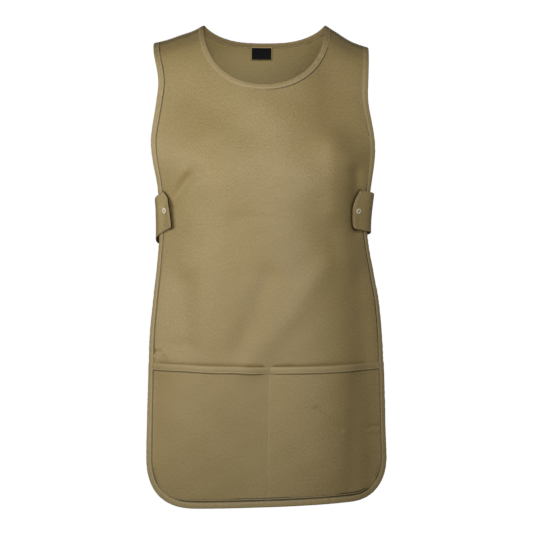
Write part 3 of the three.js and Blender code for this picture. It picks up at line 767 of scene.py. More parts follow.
def placed(name: str, data: bpy.types.ID) -> Piece:
    """Puts a new object in the scene.

    Args:
        name: its name.
        data: its mesh, light or camera.
    Returns:
        The object, at the origin.
    """
    made = bpy.data.objects.new(name, data)
    bpy.context.scene.collection.objects.link(made)
    return made


def mesh_of(name: str, grids: list[Grid]) -> Piece:
    """Makes one object from grids of points, merged where they meet.

    Args:
        name: the object's name.
        grids: the grids, in millimetres.
    Returns:
        The object, linked to the scene.
    """
    corners, faces, flats, painted_shades = [], [], [], []
    total = 0
    for points, flat, tuck in grids:
        rows, columns = points.shape[:2]
        number = total + np.arange(rows * columns).reshape(rows, columns)
        quads = np.stack([number[:-1, :-1], number[1:, :-1], number[1:, 1:], number[:-1, 1:]], -1)
        corners.append(points.reshape(-1, 3))
        flats.append(flat.reshape(-1, 2))
        painted_shades.append(np.zeros(rows * columns) if tuck is None else tuck.ravel())
        faces.append(quads.reshape(-1, 4))
        total += rows * columns
    quads = np.concatenate(faces)
    mesh = bpy.data.meshes.new(name)
    mesh.from_pydata((np.concatenate(corners) * MM).tolist(), [], quads.tolist())
    layer = mesh.uv_layers.new(name=CLOTH_UV)
    layer.data.foreach_set("uv", (np.concatenate(flats)[quads.ravel()] * MM).ravel())
    # Stores the painted shade as a point attribute
    mesh.attributes.new(PAINTED_SHADE, "FLOAT", "POINT").data.foreach_set("value", np.concatenate(painted_shades))
    work = bmesh.new()
    work.from_mesh(mesh)
    bmesh.ops.remove_doubles(work, verts=work.verts, dist=MERGE * MM)
    bmesh.ops.dissolve_degenerate(work, edges=work.edges, dist=SLIVER * MM)
    bmesh.ops.recalc_face_normals(work, faces=work.faces)
    work.to_mesh(mesh)
    work.free()
    mesh.shade_smooth()
    return placed(name, mesh)


def made_plain(piece: Piece) -> Piece:
    """Turns a piece and its modifiers into a plain mesh.

    Args:
        piece: the piece.
    Returns:
        The same piece, with no modifier.
    """
    graph = bpy.context.evaluated_depsgraph_get()
    mesh = bpy.data.meshes.new_from_object(piece.evaluated_get(graph), depsgraph=graph)
    mesh.name = piece.name
    piece.modifiers.clear()
    piece.data = mesh
    return piece


def carried(stations: Stations, section: Array, lift: Array, tuck: Array, closed: bool) -> Grid:
    """Carries a closed section along stations.

    Args:
        stations: the edge that it follows.
        section: distances into and out of the cloth, round the section.
        lift: how much further out each point lies at each station.
        tuck: how much painted shade each point takes at each station.
        closed: whether the run of stations is a loop.
    Returns:
        A grid with a row for each point of the section.
    """
    ring = np.concatenate([section, section[:1]])
    rise = np.concatenate([lift, lift[:, :1]], axis=1)
    points = np.stack([stations.offset(into, out + rise[:, k]) for k, (into, out) in enumerate(ring)])
    deep = np.concatenate([tuck, tuck[:, :1]], axis=1).T
    along = lengths(stations.edge)
    if closed:
        points = np.concatenate([points, points[:, :1]], axis=1)
        deep = np.concatenate([deep, deep[:, :1]], axis=1)
        along = np.append(along, along[-1] + np.linalg.norm(stations.edge[0] - stations.edge[-1]))
    flat = np.stack(np.meshgrid(along, lengths(ring)), -1)
    return Grid(points, flat, deep)


def end_caps(run: Grid) -> list[Grid]:
    """Closes both ends of a section carried along an open run.

    Args:
        run: the carried section.
    Returns:
        A strip for each end, with the section's points paired off across it.
    """
    half = (len(run.points) + 1) // 2
    caps = []
    for end in (0, -1):
        ring = run.points[:, end]
        rows = np.stack([ring[:half], ring[::-1][:half]])
        caps.append(Grid(rows, np.zeros((*rows.shape[:2], 2))))
    return caps


def colour(code: int) -> tuple[float, float, float, float]:
    """Turns an sRGB hex value to a linear colour.

    Args:
        code: the hex value.
    Returns:
        Red, green, blue and a full alpha.
    """
    parts = [((code >> shift) & 0xFF) / 255 for shift in (16, 8, 0)]
    linear = [p / 12.92 if p <= 0.04045 else ((p + 0.055) / 1.055) ** 2.4 for p in parts]
    return (*linear, 1.0)


def add(tree: Tree, kind: str, inputs: dict | None = None, **settings: object) -> Node:
    """Adds a node to a tree.

    Args:
        tree: the tree.
        kind: the node's type.
        inputs: for each input, by name or number: a constant, a socket to link from, or a node whose first
            output in use is linked from.
        settings: the node's own properties.
    Returns:
        The node.
    """
    node = tree.nodes.new(kind)
    for key, value in settings.items():
        setattr(node, key, value)
    for key, value in (inputs or {}).items():
        if isinstance(value, Node):
            value = next(socket for socket in value.outputs if socket.enabled)
        if isinstance(value, bpy.types.NodeSocket):
            tree.links.new(value, node.inputs[key])
        else:
            node.inputs[key].default_value = value
    return node


def new_material(name: str) -> tuple[Material, Tree]:
    """Makes an empty material.

    Args:
        name: its name.
    Returns:
        The material and its empty tree.
    """
    material = bpy.data.materials.new(name)
    material.use_nodes = True
    material.node_tree.nodes.clear()
    return material, material.node_tree


WAVE_PERIOD = math.pi / 10  # length of one band of a Wave texture at scale 1


@dataclass(frozen=True)
class TwillFinish:
    """Polycotton twill, piece dyed khaki, with fine diagonal wales and a soft gloss."""

    name: str
    dark: int
    light: int
    lean: float = 52.0
    wale: float = 1.9  # real wales are about 0.6 mm apart, drawn coarser so that they show
    yarn: float = 1.7  # drawn coarser too
    slub: float = 2.2  # how much the uneven yarn shows beside the wales
    mottle: float = 55.0
    cloud: float = 0.4  # how much the soft shade changes show
    tones: tuple[float, float] = (0.9, 2.7)  # values of the weave that take the dark and the light shade
    deep: int = 0x1A1505  # shade in the tucks beside seams
    relief: float = 0.75
    depth: float = 0.25
    gloss: float = 0.6
    roughness: float = 0.48

    def material(self) -> Material:
        """Builds the finish: diagonal wales, uneven yarn and soft shade changes in colour and relief.

        Returns:
            The material.
        """
        material, tree = new_material(self.name)
        flat = add(tree, "ShaderNodeUVMap", uv_map=CLOTH_UV)
        lean = {"Vector": flat, "Rotation": (0, 0, math.radians(self.lean))}
        turned = add(tree, "ShaderNodeMapping", lean)
        drawn = add(tree, "ShaderNodeMapping", {"Vector": flat, "Scale": (1.0, 0.5, 1.0)})
        wander = {"Distortion": 1.5, "Detail": 2.0, "Detail Scale": 1.3}
        wale_scale = WAVE_PERIOD / (self.wale * MM)
        wales = add(tree, "ShaderNodeTexWave", {"Vector": turned, "Scale": wale_scale, **wander})
        slubs = {"Vector": drawn, "Scale": 1 / (self.yarn * MM), "Detail": 3.0}
        yarn = add(tree, "ShaderNodeTexNoise", slubs)
        clouds = {"Scale": 1 / (self.mottle * MM), "Detail": 4.0, "Roughness": 0.6}
        shade = add(tree, "ShaderNodeTexNoise", {"Vector": flat, **clouds})
        woven = add(tree, "ShaderNodeMath", {0: yarn, 1: self.slub, 2: wales}, operation="MULTIPLY_ADD")
        tone = add(tree, "ShaderNodeMath", {0: shade, 1: self.cloud, 2: woven}, operation="MULTIPLY_ADD")
        dark, light = self.tones
        share = add(tree, "ShaderNodeMapRange", {"Value": tone, "From Min": dark, "From Max": light})
        shades = {0: share, 6: colour(self.dark), 7: colour(self.light)}
        dyed = add(tree, "ShaderNodeMix", shades, data_type="RGBA")
        # Painted shade: the cloth's colour is darkened towards the deep colour as far as the attribute says
        tuck = add(tree, "ShaderNodeAttribute", attribute_name=PAINTED_SHADE).outputs["Fac"]
        with_painted_shade = add(tree, "ShaderNodeMix", {0: tuck, 6: dyed, 7: colour(self.deep)}, data_type="RGBA")
        raised = {"Height": woven, "Strength": self.relief, "Distance": self.depth * MM}
        relief = add(tree, "ShaderNodeBump", raised)
        look = {"Base Color": with_painted_shade, "Normal": relief, "Roughness": self.roughness}
        surface = add(tree, "ShaderNodeBsdfPrincipled", {**look, "Specular IOR Level": self.gloss})
        add(tree, "ShaderNodeOutputMaterial", {"Surface": surface})
        return material


@dataclass(frozen=True)
class ThreadFinish:
    """Spun polyester sewing thread: a soft gloss, with the twist of its plies along each stitch."""

    name: str = "spun_polyester_thread"
    shade: int = 0xE0D2AC
    deep: int = 0xC0AF86
    twist: float = 0.8
    roughness: float = 0.55
    sheen: float = 0.1

    def material(self) -> Material:
        """Builds the finish: fine twist lines in colour and relief.

        Returns:
            The material.
        """
        material, tree = new_material(self.name)
        place = add(tree, "ShaderNodeTexCoord").outputs["Object"]
        plies = {"Vector": place, "Scale": WAVE_PERIOD / (self.twist * MM), "Distortion": 0.5}
        twist = add(tree, "ShaderNodeTexWave", plies, bands_direction="DIAGONAL")
        shades = {0: twist, 6: colour(self.deep), 7: colour(self.shade)}
        spun = add(tree, "ShaderNodeMix", shades, data_type="RGBA")
        relief = add(tree, "ShaderNodeBump", {"Height": twist, "Strength": 0.3, "Distance": 0.1 * MM})
        look = {"Base Color": spun, "Normal": relief, "Roughness": self.roughness}
        surface = add(tree, "ShaderNodeBsdfPrincipled", {**look, "Sheen Weight": self.sheen})
        add(tree, "ShaderNodeOutputMaterial", {"Surface": surface})
        return material


@dataclass(frozen=True)
class NickelFinish:
    """Nickel-plated brass, pressed and tumbled: a warm bright metal with fine scuffs."""

    name: str = "nickel_plated_brass"
    bright: int = 0xFBF4E0
    dull: int = 0xE6DDC6
    scuff: float = 1.2
    metallic: float = 0.3
    roughness: tuple[float, float] = (0.4, 0.6)

    def material(self) -> Material:
        """Builds the finish: scuffs that change the gloss, and a slight waviness.

        Returns:
            The material.
        """
        material, tree = new_material(self.name)
        place = add(tree, "ShaderNodeTexCoord").outputs["Object"]
        marks = {"Scale": 1 / (self.scuff * MM), "Detail": 5.0, "Roughness": 0.65}
        scuffs = add(tree, "ShaderNodeTexNoise", {"Vector": place, **marks})
        shades = {0: scuffs, 6: colour(self.dull), 7: colour(self.bright)}
        plated = add(tree, "ShaderNodeMix", shades, data_type="RGBA")
        smooth, rough = self.roughness
        gloss = add(tree, "ShaderNodeMapRange", {"Value": scuffs, "To Min": smooth, "To Max": rough})
        relief = add(tree, "ShaderNodeBump", {"Height": scuffs, "Strength": 0.15, "Distance": 0.1 * MM})
        look = {"Base Color": plated, "Roughness": gloss, "Normal": relief, "Metallic": self.metallic}
        surface = add(tree, "ShaderNodeBsdfPrincipled", look)
        add(tree, "ShaderNodeOutputMaterial", {"Surface": surface})
        return material


@dataclass(frozen=True)
class LabelFinish:
    """Woven damask label: black satin ground with fine rows and a tan border woven in."""

    width: float
    height: float
    name: str = "black_damask_label"
    ground: int = 0x0C0D11
    row_shade: int = 0x181A20
    border: int = 0xC2AC74
    border_width: float = 1.5
    row_pitch: float = 0.9  # real rows are about 0.25 mm apart, drawn coarser so that they show
    roughness: float = 0.6
    gloss: float = 0.25

    def material(self) -> Material:
        """Builds the finish: rows across the ground, and a border along the edges.

        Returns:
            The material.
        """
        material, tree = new_material(self.name)
        flat = add(tree, "ShaderNodeUVMap", uv_map=CLOTH_UV)
        woven = {"Vector": flat, "Scale": WAVE_PERIOD / (self.row_pitch * MM), "Distortion": 0.4}
        rows = add(tree, "ShaderNodeTexWave", woven, bands_direction="Y")
        shades = {0: rows, 6: colour(self.ground), 7: colour(self.row_shade)}
        ground = add(tree, "ShaderNodeMix", shades, data_type="RGBA")
        parts = add(tree, "ShaderNodeSeparateXYZ", {0: flat}).outputs
        inside = []
        for part, size in zip(parts, (self.width, self.height)):
            away = add(tree, "ShaderNodeMath", {0: part}, operation="ABSOLUTE")
            limit = (size / 2 - self.border_width) * MM
            inside.append(add(tree, "ShaderNodeMath", {0: away, 1: limit}, operation="LESS_THAN"))
        within = add(tree, "ShaderNodeMath", dict(enumerate(inside)), operation="MULTIPLY")
        bordered = {0: within, 6: colour(self.border), 7: ground}
        shown = add(tree, "ShaderNodeMix", bordered, data_type="RGBA")
        relief = add(tree, "ShaderNodeBump", {"Height": rows, "Strength": 0.3, "Distance": 0.1 * MM})
        look = {"Base Color": shown, "Normal": relief, "Roughness": self.roughness}
        surface = add(tree, "ShaderNodeBsdfPrincipled", {**look, "Specular IOR Level": self.gloss})
        add(tree, "ShaderNodeOutputMaterial", {"Surface": surface})
        return material


@dataclass(frozen=True)
class PaperFinish:
    """Studio background paper: pale, matt, with the faintest tooth."""

    name: str = "pale_background_paper"
    shade: int = 0xF4F3F0
    deep: int = 0xECEBE8
    tooth: float = 4.0
    roughness: float = 0.9

    def material(self) -> Material:
        """Builds the finish: a faint uneven tone.

        Returns:
            The material.
        """
        material, tree = new_material(self.name)
        place = add(tree, "ShaderNodeTexCoord").outputs["Object"]
        tooth = add(tree, "ShaderNodeTexNoise", {"Vector": place, "Scale": 1 / (self.tooth * MM)})
        shades = {0: tooth, 6: colour(self.deep), 7: colour(self.shade)}
        paper = add(tree, "ShaderNodeMix", shades, data_type="RGBA")
        look = {"Base Color": paper, "Roughness": self.roughness}
        surface = add(tree, "ShaderNodeBsdfPrincipled", look)
        add(tree, "ShaderNodeOutputMaterial", {"Surface": surface})
        return material


TWILL = TwillFinish("khaki_polycotton_twill", 0x867142, 0xB8A26E)
# The reverse is drawn lighter: partly as a weft-faced side is, and partly as painted light on the inside of
# the back.
TWILL_REVERSE = TwillFinish("khaki_twill_reverse", 0xA08C59, 0xC4B07B, lean=48.0, wale=2.6)
BIAS_TAPE = TwillFinish("khaki_bias_tape", 0x957F51, 0xB6A272, lean=8.0, wale=1.6)


@dataclass
class Finishes:
    """The finishes that several pieces share, built once."""

    cloth: Material = field(default_factory=TWILL.material)
    reverse: Material = field(default_factory=TWILL_REVERSE.material)
    tape: Material = field(default_factory=BIAS_TAPE.material)
    thread: Material = field(default_factory=ThreadFinish().material)
    nickel: Material = field(default_factory=NickelFinish().material)


def thickened(piece: Piece, facing: int, finishes: Finishes) -> Piece:
    """Gives an open sheet of cloth its wall and its two sides' finishes.

    Args:
        piece: the sheet, on the wall's middle.
        facing: the sign along Y of the sheet's outer side.
        finishes: the finishes, of which it takes the cloth's and its reverse's.
    Returns:
        The piece, as a plain closed mesh.
    """
    piece.data.materials.append(finishes.cloth)
    piece.data.materials.append(finishes.reverse)
    mean = sum((polygon.normal.y * polygon.area for polygon in piece.data.polygons), 0.0)
    if mean * facing < 0:
        piece.data.flip_normals()
    wall = piece.modifiers.new("wall", "SOLIDIFY")
    wall.thickness = CLOTH * MM
    wall.offset = 0
    wall.use_even_offset = True
    wall.material_offset = 1
    return made_plain(piece)


def dressed(piece: Piece, material: Material | None, slot: str, *nodes: str) -> None:
    """Gives a finished piece its material and its place in the frame, and reports it.

    Args:
        piece: the piece.
        material: its finish, or none if it already has its own.
        slot: the record's material slot; not used.
        nodes: the solids that it stands for.
    """
    if material:
        piece.data.materials.clear()
        piece.data.materials.append(material)
    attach(piece, BODY)
    if nodes:
        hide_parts(*nodes)
    LOG.info("%s: %d faces", piece.name, len(piece.data.polygons))


@dataclass
class Needlework:
    """Rows of lockstitches that a node tree sets along seams."""

    material: Material
    pitch: float = 3.4
    thread: float = 0.8
    share: float = 0.8  # of the pitch that one stitch covers
    tree: Tree = field(init=False)

    def __post_init__(self) -> None:
        """Builds the node tree that turns lines into stitches."""
        tree = bpy.data.node_groups.new("lockstitch_rows", "GeometryNodeTree")
        sockets = {
            "Seams": "NodeSocketGeometry",
            "Pitch": "NodeSocketFloat",
            "Thread": "NodeSocketFloat",
            "Stitch length": "NodeSocketFloat",
            "Finish": "NodeSocketMaterial",
        }
        for name, kind in sockets.items():
            tree.interface.new_socket(name, in_out="INPUT", socket_type=kind)
        tree.interface.new_socket("Stitches", in_out="OUTPUT", socket_type="NodeSocketGeometry")
        given = add(tree, "NodeGroupInput").outputs
        line = add(tree, "GeometryNodeMeshToCurve", {0: given["Seams"]})
        steps = {"Curve": line, "Length": given["Pitch"]}
        spaced = add(tree, "GeometryNodeResampleCurve", steps, mode="LENGTH")
        bead = add(tree, "GeometryNodeMeshUVSphere", {"Segments": 6, "Rings": 4, "Radius": 0.5})
        sizes = {0: given["Thread"], 1: given["Thread"], 2: given["Stitch length"]}
        size = add(tree, "ShaderNodeCombineXYZ", sizes)
        stitch = add(tree, "GeometryNodeTransform", {0: bead, "Scale": size})
        tangent = add(tree, "GeometryNodeInputTangent")
        turn = add(tree, "FunctionNodeAlignRotationToVector", {"Vector": tangent}, axis="Z")
        row = {"Points": spaced, "Instance": stitch, "Rotation": turn}
        stitches = add(tree, "GeometryNodeInstanceOnPoints", row)
        real = add(tree, "GeometryNodeRealizeInstances", {0: stitches})
        smooth = add(tree, "GeometryNodeSetShadeSmooth", {0: real})
        finished = add(tree, "GeometryNodeSetMaterial", {0: smooth, "Material": given["Finish"]})
        add(tree, "NodeGroupOutput", {0: finished})
        self.tree = tree

    def sew(self, name: str, lines: list[Array], slot: str) -> None:
        """Sews stitches along lines and dresses them as one piece.

        Args:
            name: the piece's name.
            lines: points along each seam, in millimetres.
            slot: the record's material slot of the cloth that they hold.
        """
        counts = [len(line) for line in lines]
        starts = np.cumsum([0, *counts[:-1]]).tolist()
        links = [(s + k, s + k + 1) for s, count in zip(starts, counts) for k in range(count - 1)]
        mesh = bpy.data.meshes.new(name)
        mesh.from_pydata((np.concatenate(lines) * MM).tolist(), links, [])
        piece = placed(name, mesh)
        modifier = piece.modifiers.new("stitches", "NODES")
        modifier.node_group = self.tree
        wanted = {
            "Pitch": self.pitch * MM,
            "Thread": self.thread * MM,
            "Stitch length": self.pitch * self.share * MM,
            "Finish": self.material,
        }
        for item in self.tree.interface.items_tree:
            if item.name in wanted and item.in_out == "INPUT":
                modifier[item.identifier] = wanted[item.name]
        dressed(made_plain(piece), self.material, slot)


class Wave(NamedTuple):
    """A slow wave in the cloth: how much it runs across and up, its length and its start."""

    across: float
    up: float
    length: float
    start: float

    def at(self, x: Array, z: Array) -> Array:
        """The wave's height, from -1 to 1, at places across and heights."""
        return np.sin(math.tau * (self.across * x + self.up * z) / self.length + self.start)


class Crossing(NamedTuple):
    """Two waves that cross, and how high they stand together."""

    height: float
    one: Wave
    other: Wave


UNDULATION = (
    Crossing(0.3, Wave(1, 0.45, 97, 0.7), Wave(-0.3, 1, 143, 0)),
    Crossing(0.18, Wave(0.8, -0.6, 61, 2.1), Wave(0, 1, 89, 0.4)),
)


@dataclass
class Ripples:
    """What keeps the cloth uneven: slow waves, and the small puckers that a taped seam draws up."""

    run: Stations
    height: float = 0.35
    reach: float = 15.0
    wave: float = 11.5
    drift: float = 47.0
    wander: float = 1.7  # how far the puckers drift to and fro, in radians
    uneven: float = 0.4  # the share of their height that comes and goes
    swell: float = 84.6
    calm: float = 30.0  # how far below the shoulder seams the cloth is calmer
    along: Array = field(init=False)
    tree: KDTree = field(init=False)

    def __post_init__(self) -> None:
        """Sorts the seam's places for finding the nearest."""
        self.along = lengths(self.run.edge)
        self.tree = KDTree(len(self.run.edge))
        for k, place in enumerate(self.run.edge):
            self.tree.insert(Vector(place), k)
        self.tree.balance()

    def pucker(self, along: Array) -> Array:
        """The puckers' height along the seam, from -1 to 1."""
        phase = math.tau * along / self.wave + self.wander * np.sin(math.tau * along / self.drift)
        return np.sin(phase) * (1 - self.uneven + self.uneven * np.sin(math.tau * along / self.swell))

    def rise(self, points: Array) -> Array:
        """Works out how far the cloth stands out of its smooth form.

        Args:
            points: points on the smooth form.
        Returns:
            The height at each, calm at the shoulder seams.
        """
        found = [self.tree.find(Vector(point))[1:] for point in points.reshape(-1, 3)]
        index = np.array([k for k, _ in found])
        away = np.array([distance for _, distance in found])
        near = self.height * np.exp(-((away / self.reach) ** 2)) * self.pucker(self.along[index])
        x, z = points[..., 0], points[..., 2]
        slow = sum(pair.height * pair.one.at(x, z) * pair.other.at(x, z) for pair in UNDULATION)
        return rising(ridge(x) - z, 0, self.calm) * (slow + near.reshape(x.shape))

    def along_run(self, run: Stations, into: Array) -> Array:
        """How far the cloth stands out at each station, with a column for each distance in."""
        return np.stack([self.rise(run.offset(far, 0)) for far in into], 1)


@dataclass
class Panels:
    """The front and the back cloth, which meet along the shoulder seams."""

    finishes: Finishes
    needlework: Needlework
    ripples: Ripples
    covered: Array  # points along the tabs' free ends, beside which shadow is painted on the cloth
    # how far the painted shadow beside the tabs' free ends reaches
    shade_reach: float = 3.2
    seam_cells: int = 40
    scoop_cells: int = 46
    strap_rows: int = 46
    body_rows: int = 240
    back_rows: int = 220
    stitch_below: float = 1.6  # from the shoulder seam down to its stitches
    stitch_rise: float = 0.12
    front_flat: tuple[float, float] = (0.47, 0.84)  # in metres, as cut
    back_flat: tuple[float, float] = (0.44, 0.82)
    flat_area: float = 0.29
    front: Piece = field(init=False)
    back: Piece = field(init=False)

    def seam(self, side: Side) -> Array:
        """Follows a shoulder seam from the shoulder's tip to the neck.

        Args:
            side: which side's seam.
        Returns:
            Places across and heights.
        """
        tip = side.value * (float(HALF_WIDTH[side](np.array(TIP_DROP[side]))) - RIM)
        x = np.linspace(tip, side.value * (NECK_HALF + RIM), self.seam_cells + 1)
        return np.stack([x, ridge(x)], -1)

    def grid(self, face: Face, places: Array, grain: Grain) -> Grid:
        """Lays cloth on a face, with its ripples.

        Args:
            face: the panel's surface.
            places: rows of places across and heights.
            grain: the cloth's flat coordinates.
        Returns:
            The cloth.
        """
        x, z = places[..., 0], places[..., 1]
        points = face.points(x, z)
        lift = self.ripples.rise(points)
        return Grid(points + lift[..., None] * face.normals(x, z), grain.flat(x, z))

    def front_grid(self, places: Array) -> Grid:
        """Lays part of the front, with shadow painted beneath the tabs' free ends.

        Args:
            places: rows of places across and heights.
        Returns:
            The cloth.
        """
        x, z = places[..., 0], places[..., 1]
        # Paints shadow on the cloth beside the tabs' free ends
        away = np.min([np.hypot(x - end[0], z - end[2]) for end in self.covered], axis=0)
        shade = np.exp(-((away / self.shade_reach) ** 2))
        return self.grid(FRONT_CLOTH, places, FRONT_GRAIN)._replace(tuck=shade)

    def front_grids(self) -> list[Grid]:
        """Lays the front's two straps and its body.

        Returns:
            The three patches, which share their rims.
        """
        joins, straps, sides = {}, {}, {}
        for side in Side:
            down = FRONT_EDGE.down(side)
            cut = int(np.searchsorted(-down[:, 1], ARMHOLE_BREAK))
            strap = rim_of(FRONT, down[: cut + 1], self.strap_rows + 1, False)
            sides[side] = rim_of(FRONT, down[cut:], self.body_rows + 1, False)
            sides[side][0] = strap[-1]
            first, last = (0, NECK_BREAK) if side is Side.LEFT else (math.pi, math.pi - NECK_BREAK)
            neck = rim_of(FRONT, front_neck(first, last), self.strap_rows + 1, True)
            seam = self.seam(side)
            strap[0], neck[0] = seam[0], seam[-1]
            joins[side] = np.linspace(strap[-1], neck[-1], self.seam_cells + 1)
            straps[side] = self.front_grid(blended(seam, joins[side], strap, neck))
        scoop = rim_of(FRONT, front_neck(NECK_BREAK, math.pi - NECK_BREAK), self.scoop_cells + 1, True)
        top = np.concatenate([joins[Side.LEFT], scoop[1:-1], joins[Side.RIGHT][::-1]])
        return [*straps.values(), self.front_grid(FRONT_EDGE.filled(top, sides))]

    def back_grid(self) -> Grid:
        """Lays the back, from the neck and shoulders to the hem.

        Returns:
            One patch.
        """
        sides = {side: rim_of(BACK, BACK_EDGE.down(side), self.back_rows + 1, False) for side in Side}
        for side in Side:
            sides[side][0] = self.seam(side)[0]
        neck = rim_of(BACK, back_neck(), self.scoop_cells + 1, True)
        top = np.concatenate([self.seam(Side.LEFT), neck[1:-1], self.seam(Side.RIGHT)[::-1]])
        return self.grid(BACK, BACK_EDGE.filled(top, sides), BACK_GRAIN)

    def build(self) -> None:
        """Makes both panels."""
        self.front = thickened(mesh_of("front_cloth", self.front_grids()), FRONT.facing, self.finishes)
        self.back = thickened(mesh_of("back_cloth", [self.back_grid()]), BACK.facing, self.finishes)

    def dress(self) -> None:
        """Finishes the panels and sews the shoulder seams."""
        dressed(self.front, None, "cloth", "front_panel")
        dressed(self.back, None, "cloth", "back_panel")
        lift = HALF_CLOTH + self.stitch_rise
        lines = []
        for side in Side:
            x, z = self.seam(side)[2:-2].T
            below = z - self.stitch_below
            for face in (FRONT, BACK):
                lines.append(face.points(x, below) + lift * face.normals(x, below))
        self.needlework.sew("shoulder_stitches", lines, "cloth")


class TapePoint(NamedTuple):
    """A point of a tape's section: how far in it lies, how far below the tape's face, and how much painted
    shade it takes.
    """

    inside: float
    below: float
    tuck: float


# From the cloth beside the tape, over its inner edge and its seam, as distances in from the inner edge; the
# last column is painted shade along the inner edge and in the seam
TAPE_EDGE = (
    TapePoint(-1.3, TAPE_RISE - 0.03, 0.0),
    TapePoint(-0.7, TAPE_RISE - 0.10, 0.9),
    TapePoint(0.0, TAPE_RISE - 0.16, 1.0),
    TapePoint(0.25, 0.35, 0.35),
    TapePoint(0.7, 0.03, 0.0),
    TapePoint(1.2, 0.06, 0.0),
    TapePoint(STITCH_IN, 0.42, 0.25),
    TapePoint(2.3, 0.08, 0.0),
    TapePoint(3.2, -0.06, 0.0),
)
ON_FACE = 4  # where the tape's flat face starts in that table
# Over the tape's folded edge, as distances in from the fold
TAPE_FOLDED = (
    TapePoint(2.7, -0.08, 0.0),
    TapePoint(1.5, 0.02, 0.0),
    TapePoint(0.7, 0.28, 0.0),
    TapePoint(0.15, 0.8, 0.0),
    TapePoint(0.0, 1.4, 0.0),
)
# Over the fold of the pocket's band and down behind the pocket's cloth
BAND_FOLDED = (
    TapePoint(0.3, 0.2, 0.0),
    TapePoint(0.0, 0.6, 0.0),
    TapePoint(-0.1, TAPE_FACE, 0.0),
    TapePoint(0.1, TAPE_FACE + HALF_CLOTH, 0.0),
    TapePoint(TAPE_FOLD, TAPE_FACE + HALF_CLOTH, 0.0),
    TapePoint(TAPE_FOLD, TAPE_RISE - SLOT_GAP, 0.0),
)


def tape_section(width: float, folded: tuple[TapePoint, ...], crown: float) -> tuple[Array, Array]:
    """The section of a tape, from its inner edge over its face and its fold.

    Args:
        width: from the fold to the tape's inner edge.
        folded: the points over the fold.
        crown: how much higher the tape is half way across.
    Returns:
        Distances into and out of the cloth, and how much painted shade each point takes.
    """
    onward = (TapePoint(width / 2, -crown, 0.0), *folded)
    edge = [(width - point.inside, TAPE_FACE - point.below) for point in TAPE_EDGE]
    rest = [(point.inside, TAPE_FACE - point.below) for point in onward]
    return np.array(edge + rest), np.array([point.tuck for point in (*TAPE_EDGE, *onward)])


@dataclass
class Binding:
    """A tape folded over a closed edge, with its seam."""

    name: str
    run: Stations
    width: float
    extra: Array  # height of the second ply that the outer leg takes in, at each station
    shade: Array  # how dark the painted shade beside the tape is, at each station
    fold_shade: Array  # how dark the painted shade on the tape's fold is, at each station
    ripples: Ripples
    finishes: Finishes
    needlework: Needlework
    piece: Piece = field(init=False)
    lines: list[Array] = field(init=False)

    def build(self) -> None:
        """Carries the tape round its edge and follows its seam."""
        leg, tuck = tape_section(self.width, TAPE_FOLDED, TAPE_CROWN)
        slot = HALF_CLOTH + SLOT_GAP
        inner = leg[::-1] * (1, -1)
        section = np.concatenate([leg, inner, [(TAPE_FOLD, -slot), (TAPE_FOLD, slot)]])
        is_outer = np.repeat([1, 0, 0, 1], [len(leg), len(inner), 1, 1])
        waves = self.ripples.along_run(self.run, section[:, 0])
        lift = waves + self.extra[:, None] * is_outer
        # Painted shade: along the tape's inner edges, and on its fold
        deep = np.outer(self.shade, np.concatenate([tuck, tuck[::-1], [0, 0]]))
        deep[:, len(leg) - 2 : len(leg) + 2] = self.fold_shade[:, None]
        self.piece = mesh_of(f"{self.name}_tape", [carried(self.run, section, lift, deep, True)])
        seam = [point.inside for point in TAPE_EDGE].index(STITCH_IN)
        height = leg[seam, 1] + THREAD_RISE
        outside = self.run.offset(leg[seam, 0], height + lift[:, seam])
        inside = self.run.offset(leg[seam, 0], waves[:, seam] - height)
        self.lines = [np.concatenate([line, line[:1]]) for line in (outside, inside)]

    def dress(self) -> None:
        """Finishes the tape and sews it down."""
        dressed(self.piece, self.finishes.tape, "tape", f"{self.name}_binding")
        self.needlework.sew(f"{self.name}_stitches", self.lines, "tape")


class RidgePoint(NamedTuple):
    """A point round the hem's ridge: how far in from the tape's inner edge, its height and how much painted
    shade it takes.
    """

    inside: float
    height: float
    tuck: float


# The last column paints shade: dark lines above the ridge and between the ridge and the tape
HEM_RIDGE = (
    RidgePoint(-5.4, 0.05, 0.0),
    RidgePoint(-4.9, 0.1, 0.9),
    RidgePoint(-4.1, 0.18, 1.0),
    RidgePoint(-3.6, 0.85, 0.25),
    RidgePoint(-2.8, 1.15, 0.0),
    RidgePoint(-2.1, 0.95, 0.1),
    RidgePoint(-1.7, 0.2, 1.0),
    RidgePoint(-1.3, 0.06, 1.0),
    RidgePoint(-2.6, 0.02, 1.0),
    RidgePoint(-4.0, 0.02, 1.0),
)


def mouth_height(x: Array) -> Array:
    """Works out the height of the pocket's mouth.

    Args:
        x: places across.
    Returns:
        The height at each.
    """
    half = by_side(HALF_WIDTH, x, np.full_like(x, MOUTH_DROP))
    share = np.minimum(1, np.abs(x) / half)
    return -MOUTH_DROP - MOUTH_SAG * (1 - share**2)


